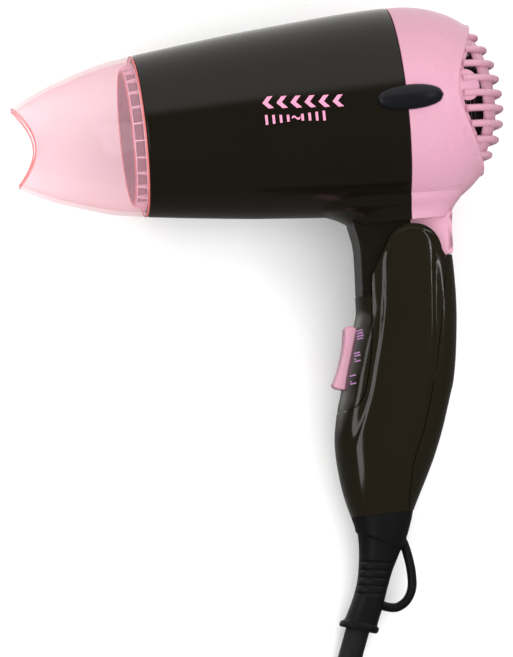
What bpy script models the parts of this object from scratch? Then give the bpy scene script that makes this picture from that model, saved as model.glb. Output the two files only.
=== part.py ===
"""Folding travel hair dryer with its nozzle on, lying on its side, with its mains lead coiled beside it."""
import math

import bmesh
import bpy
from mathutils import Euler, Matrix, Vector

MM = 0.001
GAP = 0.3 * MM

# Barrel: turned about the long axis, which lies AXIS_Z above the fold hinge.
AXIS_Z = 51.2 * MM
WALL = 2.2 * MM
RIM_X = -93.8 * MM
SEAM_X = -1.0 * MM
BARREL_SEGMENTS = 40
BARREL_PROFILE = [(-93.8, 29.1), (-75.0, 31.4), (-57.0, 33.4), (-39.0, 35.0), (-20.0, 36.5), (-8.0, 37.1),
                  (-1.0, 37.2), (6.0, 36.9), (12.4, 35.8), (18.0, 33.9), (23.2, 31.3), (28.0, 27.6),
                  (31.6, 23.2), (34.4, 18.2), (36.4, 13.0), (37.6, 7.0), (38.1, 0.0)]

# Intake grille in the back of the rear cover.
RIB_PITCH = 5.3 * MM
SLOT_HEIGHT = 3.1 * MM
SLOT_SHIFT = 0.4 * MM
SLOT_ROWS = 8
SLOT_REACH_Y = 32.5 * MM
SLOT_REACH_Z = 24.5 * MM

# Neck between the barrel and the handle cheeks.
# The collar is (height, front, back, half width) in millimetres.
COLLAR_SECTIONS = [(11.15, -21.4, 14.5, 15.2), (12.3, -22.6, 14.9, 15.5), (14.0, -25.2, 15.6, 15.8),
                   (15.6, -28.6, 16.4, 16.2), (17.4, -33.5, 17.6, 16.8), (21.0, -38.0, 19.0, 17.5)]
NECK_HALF_WIDTH = 10.5 * MM
DRUM_RADIUS = 10.7 * MM
CHANNEL_HALF_WIDTH = 5.0 * MM
SWEEP_RADIUS = 25.5 * MM

# Handle: sections from the open end upwards, (height, front, back, half thickness) in millimetres.
HANDLE_SECTIONS = [(-92.6, -32.1, -10.0, 10.8), (-88.0, -33.3, -7.6, 11.9), (-82.0, -34.4, -4.4, 13.1),
                   (-76.0, -35.0, -1.3, 14.1), (-70.0, -35.3, 1.4, 14.8), (-64.0, -35.0, 3.8, 15.3),
                   (-58.0, -33.9, 5.9, 15.6), (-53.0, -32.6, 7.6, 15.8), (-48.0, -31.0, 9.3, 15.9),
                   (-42.0, -29.4, 10.6, 16.0), (-36.0, -27.5, 11.6, 16.0), (-30.0, -25.6, 12.4, 16.0),
                   (-25.0, -24.0, 13.0, 15.9), (-20.0, -22.5, 13.4, 15.8), (-14.0, -22.1, 13.7, 15.7),
                   (-6.0, -21.6, 13.8, 15.6), (2.0, -21.4, 13.6, 15.5), (12.0, -21.2, 13.5, 15.4)]
HANDLE_END_Z = -92.6 * MM
HANDLE_WALL = 2.3 * MM
HANDLE_EXPONENT = 2.7
HANDLE_SEGMENTS = 32
CHEEK_RADIUS = 10.7 * MM
PLATE_SEAM = [(-16.4, -14.3), (-17.2, -22.0), (-18.4, -33.5), (-20.4, -42.0), (-23.4, -50.4),
              (-27.8, -54.3), (-33.2, -54.6), (-42.0, -54.6)]
BACK_SEAM = [(10.8, -2.6), (9.3, -14.4), (4.0, -41.3), (-3.1, -63.7), (-8.2, -74.4), (-11.3, -86.8),
             (-12.0, -95.0)]

# Slide switch.
SLIDE_TILT = math.radians(17.6)
SLIDE_CENTRE = Vector((-27.4, 0.0, -35.9)) * MM
SLIDE_TRAVEL = 4.0 * MM
BUTTON_LENGTH = 23.0 * MM
BUTTON_WIDTH = 10.0 * MM
STEM_LENGTH = 5.0 * MM

# Strain relief: (height, centre, half depth, half thickness) in millimetres and tilt in degrees.
BOOT_SECTIONS = [(-92.95, -21.1, 11.0, 10.5, 0), (-96.0, -21.2, 10.2, 10.1, 0), (-100.0, -21.9, 9.2, 9.4, 3),
                 (-104.0, -22.9, 8.3, 8.6, 5), (-107.5, -24.0, 7.5, 7.9, 8), (-112.0, -25.6, 6.6, 7.1, 11),
                 (-118.0, -27.6, 5.9, 6.4, 14), (-124.0, -29.9, 5.7, 6.1, 16), (-129.0, -32.2, 5.8, 5.9, 18),
                 (-131.0, -33.2, 6.0, 5.8, 18), (-131.3, -33.4, 7.0, 6.3, 18), (-132.9, -34.2, 7.0, 6.3, 18)]
LOOP_ROUTE = [(-16.5, -99.0), (-14.4, -104.0), (-13.2, -110.0), (-12.8, -115.5), (-13.3, -120.3),
              (-15.5, -124.2), (-19.0, -126.3), (-22.4, -126.0), (-25.5, -124.6)]

# Nozzle.
NOZZLE_SEGMENTS = 36
NOZZLE_WALL = 1.5 * MM

# Fan and motor.
FAN_X = (8.4, 17.4)
FAN_RADIUS = 29.6 * MM
FAN_BLADES = 7
MOTOR_RADIUS = 13.9 * MM

# Attitude at rest: lying on one side on a flat top.
REST_ROTATION = tuple(math.radians(angle) for angle in (-80.789, -6.315, -0.509))
REST_OFFSET = Vector((50.37, 22.33, 31.34)) * MM

# Mains lead, in the world frame: straight out of the strain relief, down to the table, then to its coil.
CORD_RADIUS = 4.3 * MM
CORD_STEP = 20.0 * MM
LEAD_ROUTE = [(16.97, -109.69, 6.25), (13.4, -118.6, 4.8), (8.9, -128.3, 4.4), (4.6, -138.0, 4.4),
              (0.9, -148.0, 4.4), (-2.4, -157.5, 4.4), (-4.9, -166.5, 4.4)]
COIL_CENTRE = Vector((50.0, -203.0, 0.0)) * MM
COIL_MIDDLE = 48.0 * MM
COIL_HALF_WIDTH = 13.3 * MM
COIL_BASE = 1.2 * MM
COIL_HEIGHT = 16.2 * MM
TAIL_ROUTE = [(17.1, -64.0, 4.4), (28.0, -61.0, 4.4), (39.0, -58.2, 4.4), (49.0, -55.0, 4.7),
              (59.2, -50.0, 5.5), (67.6, -42.6, 6.9), (73.8, -33.0, 8.7), (76.3, -23.0, 9.7)]
PLUG_PLACE = (76.4, -22.0, 9.7)
PLUG_SECTIONS = [(0.0, 5.3, 5.2), (9.0, 6.0, 5.8), (18.0, 6.8, 6.4), (22.0, 9.5, 7.6), (28.0, 13.4, 9.3),
                 (48.0, 14.0, 9.5), (53.0, 13.6, 9.2), (54.5, 12.4, 8.2)]
TIE_ANGLE = math.radians(55.0)


def clear_scene():
    for item in list(bpy.data.objects):
        bpy.data.objects.remove(item, do_unlink=True)


def material(name, colour, roughness, metallic=0.0, transmission=0.0):
    made = bpy.data.materials.new(name)
    made.use_nodes = True
    shader = made.node_tree.nodes["Principled BSDF"]
    shader.inputs["Base Color"].default_value = (*colour, 1.0)
    shader.inputs["Roughness"].default_value = roughness
    shader.inputs["Metallic"].default_value = metallic
    shader.inputs["Transmission Weight"].default_value = transmission
    return made


def empty(name, parent, location=(0, 0, 0), rotation=(0, 0, 0)):
    made = bpy.data.objects.new(name, None)
    bpy.context.scene.collection.objects.link(made)
    made.parent = parent
    made.location = location
    made.rotation_euler = rotation
    return made


def finish(name, bm, parent, paint=None):
    """Turn the working mesh, built in the dryer's own frame, into an object under its parent."""
    bmesh.ops.recalc_face_normals(bm, faces=bm.faces)
    mesh = bpy.data.meshes.new(name)
    bm.to_mesh(mesh)
    bm.free()
    made = bpy.data.objects.new(name, mesh)
    bpy.context.scene.collection.objects.link(made)
    made.parent = parent
    if paint is not None:
        mesh.materials.append(paint)
    return made


def cutter(made):
    made.hide_render = True
    made.display_type = "WIRE"
    return made


def combine(target, other, operation):
    step = target.modifiers.new(operation.lower() + "_" + other.name, "BOOLEAN")
    step.operation = operation
    step.solver = "EXACT"
    step.object = cutter(other)


def add_loft(bm, rings, closed=False):
    """Skin a list of equal rings; the two ends are capped unless the rings close on themselves."""
    rows = [[bm.verts.new(point) for point in ring] for ring in rings]
    count = len(rows[0])
    pairs = list(zip(rows, rows[1:]))
    if closed:
        pairs.append((rows[-1], rows[0]))
    for low, high in pairs:
        for i in range(count):
            j = (i + 1) % count
            bm.faces.new((low[i], low[j], high[j], high[i]))
    if not closed:
        bm.faces.new(rows[0])
        bm.faces.new(rows[-1][::-1])


def add_box(bm, low, high):
    (x0, y0, z0), (x1, y1, z1) = low, high
    ring = [(x0, y0), (x1, y0), (x1, y1), (x0, y1)]
    add_loft(bm, [[(x, y, z0) for x, y in ring], [(x, y, z1) for x, y in ring]])


def add_prism(bm, outline, half_width, centre_y=0.0):
    """Side-view outline of (x, z) pairs pushed out to both sides."""
    add_loft(bm, [[(x, centre_y + side * half_width, z) for x, z in outline] for side in (-1, 1)])


def add_turned(bm, profile, segments, axis_z=0.0, along="X", centre=(0, 0, 0)):
    """Closed (along, radius) profile turned about an axis; radius 0 points sit on the axis."""
    origin = Vector(centre)
    columns = []
    for i in range(segments):
        angle = 2 * math.pi * i / segments
        columns.append((math.cos(angle), math.sin(angle)))
    grid = []
    for t, r in profile:
        if r == 0.0:
            grid.append([bm.verts.new(origin + place(along, t, 0.0, 0.0, axis_z))] * segments)
        else:
            grid.append([bm.verts.new(origin + place(along, t, r * c, r * s, axis_z)) for c, s in columns])
    for low, high in zip(grid, grid[1:] + grid[:1]):
        for i in range(segments):
            j = (i + 1) % segments
            corners = []
            for vert in (low[i], low[j], high[j], high[i]):
                if vert not in corners:
                    corners.append(vert)
            if len(corners) > 2:
                bm.faces.new(corners)


def place(along, t, a, b, axis_z):
    if along == "X":
        return Vector((t, a, b + axis_z))
    if along == "Y":
        return Vector((a, t, b + axis_z))
    return Vector((a, b, t + axis_z))


def scaled(pairs, factor=MM):
    return [(a * factor, b * factor) for a, b in pairs]


def radius_at(x):
    """Outer radius of the barrel at a place along it."""
    points = scaled(BARREL_PROFILE)
    for (x0, r0), (x1, r1) in zip(points, points[1:]):
        if x0 <= x <= x1:
            return r0 + (r1 - r0) * (x - x0) / (x1 - x0)
    return points[0][1] if x < points[0][0] else 0.0


def barrel_run(start, end, inset=0.0):
    """Outer profile between two places along the barrel, moved inwards by the inset."""
    points = scaled(BARREL_PROFILE)
    run = [(start, radius_at(start) - inset)]
    run += [(x, r - inset) for x, r in points if start < x < end]
    run.append((end, max(radius_at(end) - inset, 0.0)))
    return run


def dome_inset(inset):
    """Inner face of the rear cover: the outer profile moved in along its own normals."""
    points = scaled(BARREL_PROFILE)[6:]
    moved = []
    for i, (x, r) in enumerate(points):
        before = points[max(i - 1, 0)]
        after = points[min(i + 1, len(points) - 1)]
        run = Vector((after[0] - before[0], after[1] - before[1])).normalized()
        moved.append((x + run.y * inset, max(r - run.x * inset, 0.0)))
    moved[-1] = (points[-1][0] - inset, 0.0)
    return moved


def smooth_route(points, step):
    """Even points along a Catmull-Rom curve through hand-placed ones."""
    ends = [points[0] * 2 - points[1]] + points + [points[-1] * 2 - points[-2]]
    fine = []
    for a, b, c, d in zip(ends, ends[1:], ends[2:], ends[3:]):
        for i in range(24):
            t = i / 24
            fine.append(0.5 * (2 * b + (c - a) * t + (2 * a - 5 * b + 4 * c - d) * t * t
                               + (3 * b - a - 3 * c + d) * t ** 3))
    fine.append(points[-1])
    length = sum((q - p).length for p, q in zip(fine, fine[1:]))
    count = max(2, round(length / step))
    even = [fine[0]]
    travelled = 0.0
    for p, q in zip(fine, fine[1:]):
        piece = (q - p).length
        while len(even) < count and travelled + piece >= length * len(even) / count:
            even.append(p.lerp(q, (length * len(even) / count - travelled) / piece))
        travelled += piece
    return even + [fine[-1]]


def add_tube(bm, route, radius, sides=8, width=1.0):
    """Round or flattened bar along a route that stays in one side-view plane or bends gently."""
    rings = []
    for i, point in enumerate(route):
        ahead = route[min(i + 1, len(route) - 1)] - route[max(i - 1, 0)]
        ahead.normalize()
        across = Vector((0, 1, 0)) if abs(ahead.y) < 0.9 else Vector((0, 0, 1))
        other = ahead.cross(across).normalized()
        across = other.cross(ahead).normalized()
        ring = []
        for k in range(sides):
            angle = 2 * math.pi * k / sides
            ring.append(point + other * math.cos(angle) * radius + across * math.sin(angle) * radius * width)
        rings.append(ring)
    add_loft(bm, rings)


def section(centre, half_depth, half_thickness, z, exponent, count):
    """Rounded-rectangle ring lying level at height z."""
    ring = []
    for i in range(count):
        angle = 2 * math.pi * (i + 0.5) / count
        c, s = math.cos(angle), math.sin(angle)
        scale = (abs(c) ** exponent + abs(s) ** exponent) ** (-1 / exponent)
        ring.append((centre + half_depth * c * scale, half_thickness * s * scale, z))
    return ring


def neck_outline(front):
    """Side view of the narrow neck that turns between the cheeks, a little past the barrel seam."""
    if front:
        points = [(-21.8, 13.0), (-20.9, 9.0), (-20.1, 3.5), (-20.5, -6.0), (-21.0, -13.6), (-18.4, -15.6),
                  (-16.9, -12.0), (-15.0, -6.5)]
        arc = range(205, 272, 11)
        tail = [(1.0 * MM, -10.65 * MM), (1.0 * MM, 13.0 * MM)]
    else:
        points = [(14.6, 13.0), (13.9, 8.0), (13.5, 2.0), (13.2, -2.2), (10.5, -2.2)]
        arc = range(340, 267, -12)
        tail = [(-3.0 * MM, -10.27 * MM), (-3.0 * MM, 13.0 * MM)]
    turns = [math.radians(a) for a in arc]
    rounded = [(DRUM_RADIUS * math.cos(a), DRUM_RADIUS * math.sin(a)) for a in turns]
    return scaled(points) + rounded + tail


def build_collar(name, parent):
    """Blend between the barrel and its neck."""
    rings = []
    for z, front, back, half in COLLAR_SECTIONS:
        rings.append(section((front + back) / 2 * MM, (back - front) / 2 * MM, half * MM, z * MM, 3.2, 36))
    bm = bmesh.new()
    add_loft(bm, rings)
    return finish(name, bm, parent)


def cut_at_seam(part, name, x0, x1, parent):
    """Trim a barrel half flat at the seam."""
    bm = bmesh.new()
    add_box(bm, (x0, -60 * MM, -30 * MM), (x1, 60 * MM, 120 * MM))
    combine(part, finish("seam_" + name, bm, parent), "DIFFERENCE")


def build_barrel_shell(parent, paint):
    seam = SEAM_X - GAP / 2
    bm = bmesh.new()
    past = seam + 3 * MM
    add_turned(bm, barrel_run(RIM_X, past) + [(past, 0.0), (RIM_X, 0.0)], BARREL_SEGMENTS, AXIS_Z)
    shell = finish("barrel_shell", bm, parent, paint)
    combine(shell, build_collar("collar_front", parent), "UNION")
    bm = bmesh.new()
    add_prism(bm, neck_outline(True), NECK_HALF_WIDTH)
    combine(shell, finish("neck_front", bm, parent), "UNION")
    cut_at_seam(shell, "front", seam, 60 * MM, parent)
    bm = bmesh.new()
    inner = barrel_run(RIM_X, past, WALL)
    inner[0] = (RIM_X - 2 * MM, inner[0][1])
    inner[-1] = (past + 2 * MM, inner[-1][1])
    add_turned(bm, inner + [(past + 2 * MM, 0.0), (RIM_X - 2 * MM, 0.0)], BARREL_SEGMENTS, AXIS_Z)
    combine(shell, finish("barrel_bore", bm, parent), "DIFFERENCE")
    cut_neck(shell, parent, "front", -9.0 * MM, 4.0 * MM)
    return shell


def cut_neck(shell, parent, name, x0, x1):
    """Wire channel down the neck and the bore for the hinge bushes."""
    bm = bmesh.new()
    add_box(bm, (x0, -CHANNEL_HALF_WIDTH, -14 * MM), (x1, CHANNEL_HALF_WIDTH, 22 * MM))
    combine(shell, finish("channel_" + name, bm, parent), "DIFFERENCE")
    bm = bmesh.new()
    add_turned(bm, [(-20 * MM, 0.0), (-20 * MM, 4.3 * MM), (20 * MM, 4.3 * MM), (20 * MM, 0.0)], 24, 0.0, "Y")
    combine(shell, finish("hinge_bore_" + name, bm, parent), "DIFFERENCE")


def build_rear_cover(parent, paint):
    seam = SEAM_X + GAP / 2
    apex = scaled(BARREL_PROFILE)[-1][0]
    bm = bmesh.new()
    past = seam - 3 * MM
    add_turned(bm, barrel_run(past, apex) + [(past, 0.0)], BARREL_SEGMENTS, AXIS_Z)
    cover = finish("rear_cover", bm, parent, paint)
    combine(cover, build_collar("collar_rear", parent), "UNION")
    bm = bmesh.new()
    add_prism(bm, neck_outline(False), NECK_HALF_WIDTH)
    combine(cover, finish("neck_rear", bm, parent), "UNION")
    cut_at_seam(cover, "rear", -60 * MM, seam, parent)
    bm = bmesh.new()
    inner = dome_inset(WALL)
    inner[0] = (past - 2 * MM, inner[0][1])
    add_turned(bm, inner + [(past - 2 * MM, 0.0)], BARREL_SEGMENTS, AXIS_Z)
    combine(cover, finish("cover_bore", bm, parent), "DIFFERENCE")
    cut_neck(cover, parent, "rear", -7.0 * MM, 8.0 * MM)
    bm = bmesh.new()
    for row in range(SLOT_ROWS):
        z = (row - 3) * RIB_PITCH + SLOT_SHIFT
        reach = SLOT_REACH_Y * math.sqrt(1 - (z / SLOT_REACH_Z) ** 2)
        low = AXIS_Z + z - SLOT_HEIGHT / 2
        add_box(bm, (14 * MM, -reach, low), (44 * MM, reach, low + SLOT_HEIGHT))
    combine(cover, finish("grille_slots", bm, parent), "DIFFERENCE")
    return cover


def build_side_trim(name, side, parent, paint):
    """Soft lens-shaped pad over the seam on each side of the barrel."""
    rings = []
    base = radius_at(SEAM_X) + GAP
    for height, scale in ((0.0, 0.3), (0.0, 0.65), (0.0, 1.0), (0.9, 0.97), (1.7, 0.78), (2.2, 0.45)):
        ring = []
        for i in range(24):
            angle = 2 * math.pi * i / 24
            x = SEAM_X + 11.6 * MM * scale * math.cos(angle)
            z = 1.5 * MM + 4.3 * MM * scale * math.sin(angle)
            bulge = radius_at(x) + GAP - base if height == 0.0 else 0.0
            y = math.sqrt((base + bulge + height * MM) ** 2 - z * z)
            ring.append((x, side * y, AXIS_Z + z))
        rings.append(ring)
    bm = bmesh.new()
    add_loft(bm, rings)
    return finish(name, bm, parent, paint)


def build_intake_screen(parent, paint):
    outer = [p for p in dome_inset(WALL + GAP) if p[0] > 20 * MM]
    inner = [p for p in dome_inset(WALL + GAP + 0.7 * MM) if p[0] > 19.4 * MM]
    bm = bmesh.new()
    add_turned(bm, outer + inner[::-1], 26, AXIS_Z)
    return finish("intake_screen", bm, parent, paint)


def build_outlet_grille(parent, paint):
    x0, x1 = -83.0 * MM, -81.0 * MM
    rim = radius_at(x0) - WALL - GAP
    bm = bmesh.new()
    add_turned(bm, [(x0, rim), (x1, rim), (x1, rim - 1.6 * MM), (x0, rim - 1.6 * MM)], 30, AXIS_Z)
    grille = finish("outlet_grille", bm, parent, paint)
    for index, radius in enumerate((19.5, 12.0)):
        bm = bmesh.new()
        r = radius * MM
        add_turned(bm, [(x0, r), (x1, r), (x1, r - 1.3 * MM), (x0, r - 1.3 * MM)], 24, AXIS_Z)
        combine(grille, finish("grille_ring_%d" % index, bm, parent), "UNION")
    bm = bmesh.new()
    add_turned(bm, [(x0, 4.5 * MM), (x1, 4.5 * MM), (x1, 0.0), (x0, 0.0)], 16, AXIS_Z)
    combine(grille, finish("grille_hub", bm, parent), "UNION")
    for index in range(3):
        bm = bmesh.new()
        add_box(bm, (x0 + 0.2 * MM, -rim + 0.8 * MM, -0.7 * MM), (x1 - 0.2 * MM, rim - 0.8 * MM, 0.7 * MM))
        turn = Matrix.Rotation(math.pi * index / 3 + 0.26, 4, "X")
        bmesh.ops.transform(bm, matrix=Matrix.Translation((0, 0, AXIS_Z)) @ turn, verts=bm.verts)
        combine(grille, finish("grille_spoke_%d" % index, bm, parent), "UNION")
    return grille


def build_mica(parent, paint):
    bm = bmesh.new()
    x0, x1 = -78.0 * MM, -30.0 * MM
    add_turned(bm, [(x0, 26.9 * MM), (x1, 26.9 * MM), (x1, 26.2 * MM), (x0, 26.2 * MM)], 36, AXIS_Z)
    finish("mica_sleeve", bm, parent, paint)
    half, long = 0.5 * MM, 21.6 * MM
    plus = [(half, half), (half, long), (-half, long), (-half, half), (-long, half), (-long, -half),
            (-half, -half), (-half, -long), (half, -long), (half, -half), (long, -half), (long, half)]
    bm = bmesh.new()
    add_loft(bm, [[(x, a, AXIS_Z + b) for a, b in plus] for x in (-77.0 * MM, -32.0 * MM)])
    finish("mica_cross", bm, parent, paint)


def build_heating_coil(name, x0, x1, turns, parent, paint):
    steps = turns * 18
    route = []
    for i in range(steps + 1):
        angle = 2 * math.pi * i / 18
        x = x0 + (x1 - x0) * i / steps
        route.append(Vector((x, 22.7 * MM * math.cos(angle), AXIS_Z + 22.7 * MM * math.sin(angle))))
    rings = []
    for point in route:
        out = Vector((0, point.y, point.z - AXIS_Z)).normalized()
        side = Vector((1, 0, 0))
        corners = ((0.6, 0), (0, 0.8), (-0.6, 0), (0, -0.8))
        rings.append([point + out * a * MM + side * b * MM for a, b in corners])
    bm = bmesh.new()
    add_loft(bm, rings)
    return finish(name, bm, parent, paint)


def build_small_heater_parts(parent, steel, glass):
    bm = bmesh.new()
    add_box(bm, (-47 * MM, 0.9 * MM, AXIS_Z + 4 * MM), (-36 * MM, 4.4 * MM, AXIS_Z + 13 * MM))
    finish("thermal_cutoff", bm, parent, steel)
    bm = bmesh.new()
    profile = [(-66 * MM, 0.0), (-66 * MM, 1.6 * MM), (-55 * MM, 1.6 * MM), (-55 * MM, 0.0)]
    add_turned(bm, profile, 14, AXIS_Z - 8 * MM, "X", (0, -2.6 * MM, 0))
    finish("thermal_fuse", bm, parent, glass)


def build_motor_housing(parent, paint):
    """Duct ring, straightening vanes and the sleeve that holds the motor."""
    x0, x1 = -22 * MM, -3 * MM
    outer = radius_at(x0) - WALL - GAP
    x0, x1 = -22 * MM, -3 * MM
    bm = bmesh.new()
    rim = -12 * MM
    add_turned(bm, [(x0, outer), (rim, outer), (rim, outer - 1.5 * MM), (x0, outer - 1.5 * MM)], 40, AXIS_Z)
    housing = finish("motor_housing", bm, parent, paint)
    bm = bmesh.new()
    add_turned(bm, [(x0, 15.8 * MM), (x1, 15.8 * MM), (x1, 14.2 * MM), (x0, 14.2 * MM)], 32, AXIS_Z)
    combine(housing, finish("motor_sleeve", bm, parent), "UNION")
    for index in range(6):
        bm = bmesh.new()
        add_box(bm, (x0 + 1 * MM, 15.0 * MM, -0.7 * MM), (rim - 1 * MM, outer - 0.7 * MM, 0.7 * MM))
        turn = Matrix.Rotation(math.pi * index / 3 + 0.3, 4, "X")
        bmesh.ops.transform(bm, matrix=Matrix.Translation((0, 0, AXIS_Z)) @ turn, verts=bm.verts)
        combine(housing, finish("stator_vane_%d" % index, bm, parent), "UNION")
    return housing


def build_motor(parent, steel, board, glass):
    bm = bmesh.new()
    r = MOTOR_RADIUS
    profile = [(-21 * MM, 0.0), (-21 * MM, r - 1 * MM), (-20 * MM, r), (2.4 * MM, r), (3.4 * MM, r - 1 * MM),
               (3.4 * MM, 4 * MM), (5.2 * MM, 4 * MM), (5.2 * MM, 0.0)]
    add_turned(bm, profile, 32, AXIS_Z)
    finish("motor_can", bm, parent, steel)
    bm = bmesh.new()
    add_turned(bm, scaled([(-23.6, 0.0), (-23.6, 12.0), (-21.3, 12.0), (-21.3, 0.0)]), 28, AXIS_Z)
    finish("motor_end_cap", bm, parent, glass)
    bm = bmesh.new()
    add_turned(bm, scaled([(-25.5, 0.0), (-25.5, 13.0), (-23.9, 13.0), (-23.9, 0.0)]), 28, AXIS_Z)
    finish("rectifier_board", bm, parent, board)
    for index in range(4):
        bm = bmesh.new()
        y = (index - 1.5) * 4.6 * MM
        profile = [(-3 * MM, 0.0), (-3 * MM, 1.3 * MM), (3 * MM, 1.3 * MM), (3 * MM, 0.0)]
        add_turned(bm, profile, 12, AXIS_Z, "Z", (-27.2 * MM, y, 0))
        finish("diode_%d" % (index + 1), bm, parent, glass)


def build_fan(parent, plastic, steel):
    """Shaft and impeller, built round the barrel axis so that they spin about their own origins."""
    x0, x1 = (value * MM for value in FAN_X)
    bm = bmesh.new()
    profile = [(5.5 * MM, 0.0), (5.5 * MM, 1.0 * MM), (x1 - 1.8 * MM, 1.0 * MM), (x1 - 1.8 * MM, 0.0)]
    add_turned(bm, profile, 12)
    finish("motor_shaft", bm, parent, steel)
    bm = bmesh.new()
    add_turned(bm, [(x0, 1.3 * MM), (x0, 8 * MM), (x1 - 1.5 * MM, 8 * MM), (x1, 6.4 * MM), (x1, 0.0),
                    (x1 - 1.5 * MM, 0.0), (x1 - 1.5 * MM, 1.3 * MM)], 28)
    impeller = finish("fan_impeller", bm, parent, plastic)
    for blade in range(FAN_BLADES):
        bm = bmesh.new()
        rings = []
        for k, radius in enumerate((7.2 * MM, 14 * MM, 22 * MM, FAN_RADIUS)):
            pitch = math.radians(50 - 9 * k)
            half = 5.4 * MM
            lift = min(half * math.sin(pitch), (x1 - x0) / 2 - 0.7 * MM)
            across = half * math.cos(pitch) * (1 + 0.35 * k)
            mid = (x0 + x1) / 2
            thin = 0.55 * MM
            ring = [(mid - lift - thin, -across), (mid + lift - thin, across),
                    (mid + lift + thin, across), (mid - lift + thin, -across)]
            rings.append([(x, y, math.sqrt(radius ** 2 - y ** 2)) for x, y in ring])
        add_loft(bm, rings)
        turn = Matrix.Rotation(2 * math.pi * blade / FAN_BLADES, 4, "X")
        bmesh.ops.transform(bm, matrix=turn, verts=bm.verts)
        combine(impeller, finish("fan_blade_%d" % blade, bm, parent), "UNION")
    return impeller


def nozzle_ring(x, radius_z, radius_y, exponent, hollow=0.0):
    """Ring across the nozzle; the mouth end is hollowed so its corners reach further forward."""
    ring = []
    for i in range(NOZZLE_SEGMENTS):
        angle = 2 * math.pi * i / NOZZLE_SEGMENTS
        c, s = math.cos(angle), math.sin(angle)
        scale = (abs(c) ** exponent + abs(s) ** exponent) ** (-1 / exponent)
        z = radius_z * s * scale
        ring.append((x + hollow * (1 - (z / radius_z) ** 2), radius_y * c * scale, z))
    return ring


def nozzle_rings(inset):
    table = [(-94.1, 28.9, 28.9, 2.0, 0.0), (-99.0, 28.1, 27.4, 2.0, 0.0), (-105.0, 27.2, 25.0, 2.0, 0.2),
             (-111.0, 25.6, 22.2, 2.1, 0.6), (-118.0, 23.4, 18.6, 2.2, 1.3), (-125.0, 21.0, 14.8, 2.4, 2.4),
             (-131.5, 18.2, 11.0, 2.6, 4.0), (-138.6, 14.6, 6.6, 3.0, 7.0)]
    rings = []
    for x, rz, ry, exponent, hollow in table:
        rings.append(nozzle_ring(x * MM, rz * MM - inset, ry * MM - inset, exponent, hollow * MM))
    return rings


def build_nozzle(parent, paint):
    """Clear nozzle: round where it plugs in, narrowing to an upright slot with a hollowed mouth."""
    outer = nozzle_rings(0.0)
    inner = nozzle_rings(NOZZLE_WALL)
    plug_outer = 26.2 * MM
    plug = [nozzle_ring(x * MM, plug_outer, plug_outer, 2.0) for x in (-93.9, -88.0)]
    bore = [nozzle_ring(x * MM, plug_outer - 1.3 * MM, plug_outer - 1.3 * MM, 2.0) for x in (-88.0, -94.1)]
    bm = bmesh.new()
    add_loft(bm, [nozzle_ring(-94.1 * MM, 28.9 * MM, 28.9 * MM, 2.0)] + outer[1:] + inner[:0:-1] + bore[::-1]
             + plug[::-1], closed=True)
    return finish("nozzle", bm, parent, paint)


def handle_loft(inset, low=0.0, high=0.0):
    rings = []
    last = len(HANDLE_SECTIONS) - 1
    for i, (z, front, back, half) in enumerate(HANDLE_SECTIONS):
        level = z * MM - (low if i == 0 else 0.0) + (high if i == last else 0.0)
        depth = (back - front) / 2 * MM - inset
        rings.append(section((front + back) / 2 * MM, depth, half * MM - inset, level, HANDLE_EXPONENT,
                             HANDLE_SEGMENTS))
    bm = bmesh.new()
    add_loft(bm, rings)
    return bm


def cheek_arc():
    points = []
    for degrees in range(0, 171, 10):
        angle = math.radians(degrees)
        points.append((CHEEK_RADIUS * math.cos(angle), CHEEK_RADIUS * math.sin(angle)))
    return points


def seam_line(points, dx, dz):
    return [(x * MM + dx, z * MM + dz) for x, z in points]


def build_handle_part(name, outline, parent, paint):
    """Piece of the hollow handle that falls inside a side-view outline."""
    part = finish(name, handle_loft(0.0), parent, paint)
    combine(part, finish(name + "_hollow", handle_loft(HANDLE_WALL, 5 * MM, 5 * MM), parent), "DIFFERENCE")
    bm = bmesh.new()
    add_prism(bm, outline, 30 * MM)
    combine(part, finish(name + "_outline", bm, parent), "INTERSECT")
    return part


def build_handle(parent, black, grey):
    half = GAP / 2
    front = seam_line(PLATE_SEAM, half, -half)
    back = seam_line(BACK_SEAM, -half, 0.0)
    low = (-45 * MM, -95 * MM)
    shell = build_handle_part("handle_shell", cheek_arc() + front + [low] + back[::-1], parent, black)
    for side, word in ((-1, "left"), (1, "right")):
        bm = bmesh.new()
        y0, y1 = sorted((side * 11.6 * MM, side * 14.2 * MM))
        add_turned(bm, [(y0, 0.0), (y0, 7.2 * MM), (y1, 7.2 * MM), (y1, 0.0)], 28, 0.0, "Y")
        combine(shell, finish("cheek_boss_" + word, bm, parent), "UNION")
    bm = bmesh.new()
    add_turned(bm, scaled([(-14.4, 0.0), (-14.4, 4.3), (14.4, 4.3), (14.4, 0.0)]), 24, 0.0, "Y")
    combine(shell, finish("cheek_bore", bm, parent), "DIFFERENCE")
    combine(shell, neck_sweep("sweep_shell", parent), "DIFFERENCE")
    plate_line = seam_line(PLATE_SEAM, -half, half)
    plate_line[0] = (plate_line[0][0], -14.3 * MM)
    plate = build_handle_part("switch_plate", plate_line + [(-45 * MM, -14.3 * MM)], parent, black)
    combine(plate, neck_sweep("sweep_plate", parent), "DIFFERENCE")
    bm = bmesh.new()
    reach = STEM_LENGTH / 2 + SLIDE_TRAVEL + 0.4 * MM
    add_box(bm, (-6 * MM, -1.9 * MM, -reach), (9 * MM, 1.9 * MM, reach))
    turn = Matrix.Translation(SLIDE_CENTRE) @ Euler((0, SLIDE_TILT, 0)).to_matrix().to_4x4()
    bmesh.ops.transform(bm, matrix=turn, verts=bm.verts)
    combine(plate, finish("stem_slot", bm, parent), "DIFFERENCE")
    back_line = seam_line(BACK_SEAM, half, 0.0)
    corners = scaled([(40.0, -95.0), (40.0, -2.6)])
    build_handle_part("handle_back_cover", back_line + corners, parent, grey)


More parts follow.
